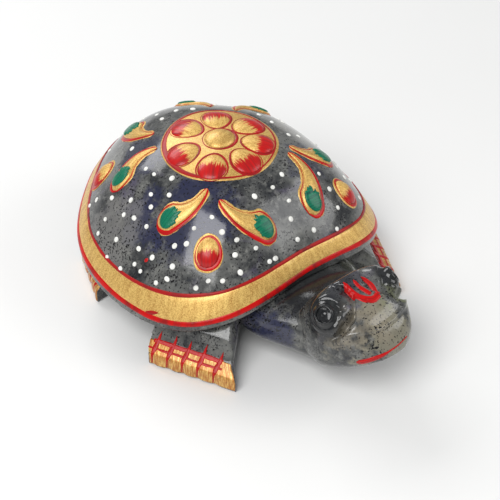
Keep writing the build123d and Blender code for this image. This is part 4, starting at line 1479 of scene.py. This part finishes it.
# %% The red lines, and all four feet painted
def toe_line(name, foot, number, line_number):
    """One of the two long lines: the second is shorter and thicker."""
    path_middle = (PATH[3] - 0.05, PATH[4] - 0.10)[line_number]
    ahead = np.linspace(foot.strokes[0] - 1.6 + 0.8 * line_number,
                        foot.strokes[-1] + 1.4 - 0.4 * line_number, 60)
    path = path_middle + waver(ahead, 310 + number + line_number, 0.08, 0.7)
    line = foot.point(ahead, path)
    above = foot.point(ahead, path + 0.05) - line
    above /= np.linalg.norm(above, axis=-1, keepdims=True)
    width = 0.30 + 0.24 * line_number + waver(ahead, 320 + number, 0.08, 0.8)
    laid_strip("toe_line_" + name + "_" + str(line_number), BODY, line, above, width, 0.21,
               ["toe_lines_" + name], seed=number)


def toe_stroke(name, foot, stroke_number, place):
    """One short stroke, from the toe edge up over the instep."""
    path = np.linspace(0.5, PATH[5] + 0.5 + 0.5 * sin(3.0 * stroke_number), 40)
    ahead = place + 0.10 * (path - 3) + waver(path, 330 + stroke_number, 0.06, 0.9)
    line = foot.point(ahead, path)
    rise = path / path[-1]
    width = 0.17 + 0.44 * bell(rise, 0.56, 0.22)
    width = width * np.clip((1 - rise) / 0.12, 0.15, 1)
    laid_strip("toe_stroke_" + name + "_" + str(stroke_number), BODY, line,
               np.broadcast_to(foot.ahead, line.shape), width, 0.25,
               ["toe_lines_" + name], seed=stroke_number)


for number, (name, foot) in enumerate(feet.items()):
    gilding(name, foot, number)
    for line_number in range(2):
        toe_line(name, foot, number, line_number)
    for stroke_number, place in enumerate(foot.strokes):
        toe_stroke(name, foot, stroke_number, place)
print("feet painted:", len(feet))

# %% [markdown]
# ## Marks on the face
# The forehead has three red strokes that run down into a thick curved one, and a
# red line marks the mouth, thick at one end and thinning to the other. Each is a
# smooth line through a few places, laid on the head straight down or to the
# nearest stone. A hand-drawn curve object would do too; a list of places is easier
# to correct.

# %% Smooth lines through a few places
def curve(points, count=40):
    points = np.asarray(points, float)
    along = lengths_along(points)
    at = np.linspace(0, along[-1], count)
    return np.stack([eased(along, points[:, i], at) for i in range(points.shape[1])], -1)


def sideways_of(line, up):
    """At each point of a line, the unit direction across it and across up."""
    aside = np.cross(np.gradient(line, axis=0), up)
    return aside / np.linalg.norm(aside, axis=-1, keepdims=True)


print("points in a curve:", len(curve(((0, 0, 0), (1, 0, 0), (1, 1, 0)))))

# %% [markdown]
# The strokes could all have one width. A real one starts thin where the brush lands
# and is thick where it is pressed, so each has a width at its start and at its
# end, and both ends are rounded off.

# %% The forehead mark and the mouth
UP = (0.0, 0.0, 1.0)
DOWN = (0.0, 0.0, -1.0)
MARK = (                         # places, and the width at the start and at the end
    (((-1.6, -29.3, 21), (-1.5, -31.6, 21), (-1.1, -33.6, 20), (-0.2, -34.8, 20)), 0.42, 0.85),
    (((-0.9, -34.1, 20), (0.6, -35.0, 20), (2.4, -34.7, 20)), 0.80, 0.70),
    (((2.6, -29.4, 21), (2.9, -31.7, 21), (2.5, -34.7, 20)), 0.36, 0.62),
    (((0.3, -29.9, 21), (0.4, -31.6, 21), (1.0, -34.1, 20)), 0.34, 0.60),
)
MOUTH = ((-6.6, -38.9, 11.4), (-5.9, -40.0, 12.1), (-4.3, -41.3, 12.9),
         (-2.4, -42.0, 13.4), (0.4, -42.2, 13.7), (3.4, -41.4, 13.9))
MOUTH_STEPS = (0, 3, 12, 22, 39)
MOUTH_WIDTHS = (0.15, 0.68, 0.66, 0.26, 0.06)
for number, (places, first, last) in enumerate(MARK):
    line = curve(places)
    steps = np.arange(len(line))
    width = np.linspace(first, last, len(line)) + waver(steps, number, 0.05, 0.3)
    width = width * np.clip(steps / 5, 0.25, 1) * np.clip((len(line) - steps) / 4, 0.4, 1)
    laid_strip("forehead_mark_" + str(number), HEAD, line, sideways_of(line, UP), width,
               0.15, ["forehead_mark"], aim=DOWN, seed=number)
line = curve(MOUTH)
width = np.interp(np.arange(len(line)), MOUTH_STEPS, MOUTH_WIDTHS)
laid_strip("mouth_line", HEAD, line, sideways_of(line, (-0.4, -0.8, -0.3)), width, 0.16,
           ["mouth_line"], seed=9)
print("face marks:", len(MARK) + 1)

# %% [markdown]
# ## Floor, light and camera
# The tortoise stands on a plain pale floor in soft light. Polished stone shows
# what is around it. A small lamp would give it one hard spark, so the lights are
# large soft panels: their edges give the long highlights that tell the eye how
# smooth the stone is.

# %% The floor
mesh = bpy.data.meshes.new("floor")
mesh.from_pydata([(-3, -3, 0), (3, -3, 0), (3, 3, 0), (-3, 3, 0)], [], [(0, 1, 2, 3)])
floor = bpy.data.objects.new("floor", mesh)
scene.collection.objects.link(floor)
tree, shader = new_material("floor_grey")
dust = noise(tree, add(tree, "TexCoord").outputs["Object"], scale=12.0, detail=3.0)
tint = mixed(tree, dust, (0.74, 0.74, 0.73, 1.0), (0.78, 0.78, 0.77, 1.0))
fill(tree, shader, {"Base Color": tint, "Roughness": 0.55})
floor.data.materials.append(MATERIALS["floor_grey"])
print("floor staged")

# %% [markdown]
# An image of a room could light the scene, but then the polish would show that
# room. A plain grey world gives the soft light from all round, and three panels
# give the form: a key from the front, a weaker fill, and one from behind.

# %% The world and the light panels
world = bpy.data.worlds.new("studio")
world.use_nodes = True
scene.world = world
tree = world.node_tree
sky = tree.nodes["Background"]           # what lights the tortoise
fill(tree, sky, {"Color": (0.80, 0.81, 0.83, 1.0), "Strength": 0.38})
seen = add(tree, "Background", {"Color": (0.86, 0.86, 0.86, 1.0), "Strength": 1.0})
straight = add(tree, "LightPath").outputs["Is Camera Ray"]
choice = add(tree, "MixShader", {0: straight, 1: sky.outputs[0], 2: seen.outputs[0]})
fill(tree, tree.nodes["World Output"], {"Surface": choice.outputs[0]})


def panel(name, place, size, power, aim=(0.0, 0.0, 0.015)):
    """A soft light panel that looks at the tortoise."""
    light = bpy.data.lights.new(name, "AREA")
    light.shape = "RECTANGLE"
    light.size, light.size_y = size
    light.energy = power
    obj = bpy.data.objects.new(name, light)
    obj.location = place
    away = Vector(place) - Vector(aim)
    obj.rotation_euler = away.to_track_quat("Z", "Y").to_euler()
    scene.collection.objects.link(obj)


panel("key_panel", (-0.30, -0.12, 0.40), size=(0.34, 0.34), power=2.3)
panel("fill_panel", (0.35, -0.30, 0.30), size=(0.30, 0.30), power=0.9)
panel("back_panel", (0.05, 0.42, 0.34), size=(0.40, 0.20), power=1.3)
print("light panels: 3")

# %% [markdown]
# The camera looks down on the tortoise from ahead and to its right, through a
# long lens, which keeps the near foot from looking too big. It could be placed by
# hand; two angles, a distance and a point to look at are easier to reason about.

# %% The camera
AZIMUTH = radians(-39.51)
ELEVATION = radians(40.84)
TARGET = Vector((4.948, 5.035, 2.5)) * MM
DISTANCE = 0.300
back = Vector((sin(AZIMUTH) * cos(ELEVATION), -cos(AZIMUTH) * cos(ELEVATION), sin(ELEVATION)))
lens = bpy.data.cameras.new("camera")
lens.lens = 105.25
lens.sensor_width = 36.0
lens.clip_start = 0.01
camera = bpy.data.objects.new("camera", lens)
camera.location = TARGET + back * DISTANCE
camera.rotation_euler = back.to_track_quat("Z", "Y").to_euler()
scene.collection.objects.link(camera)
scene.camera = camera
scene.view_settings.view_transform = "Standard"
print("camera at", [round(c, 3) for c in camera.location])
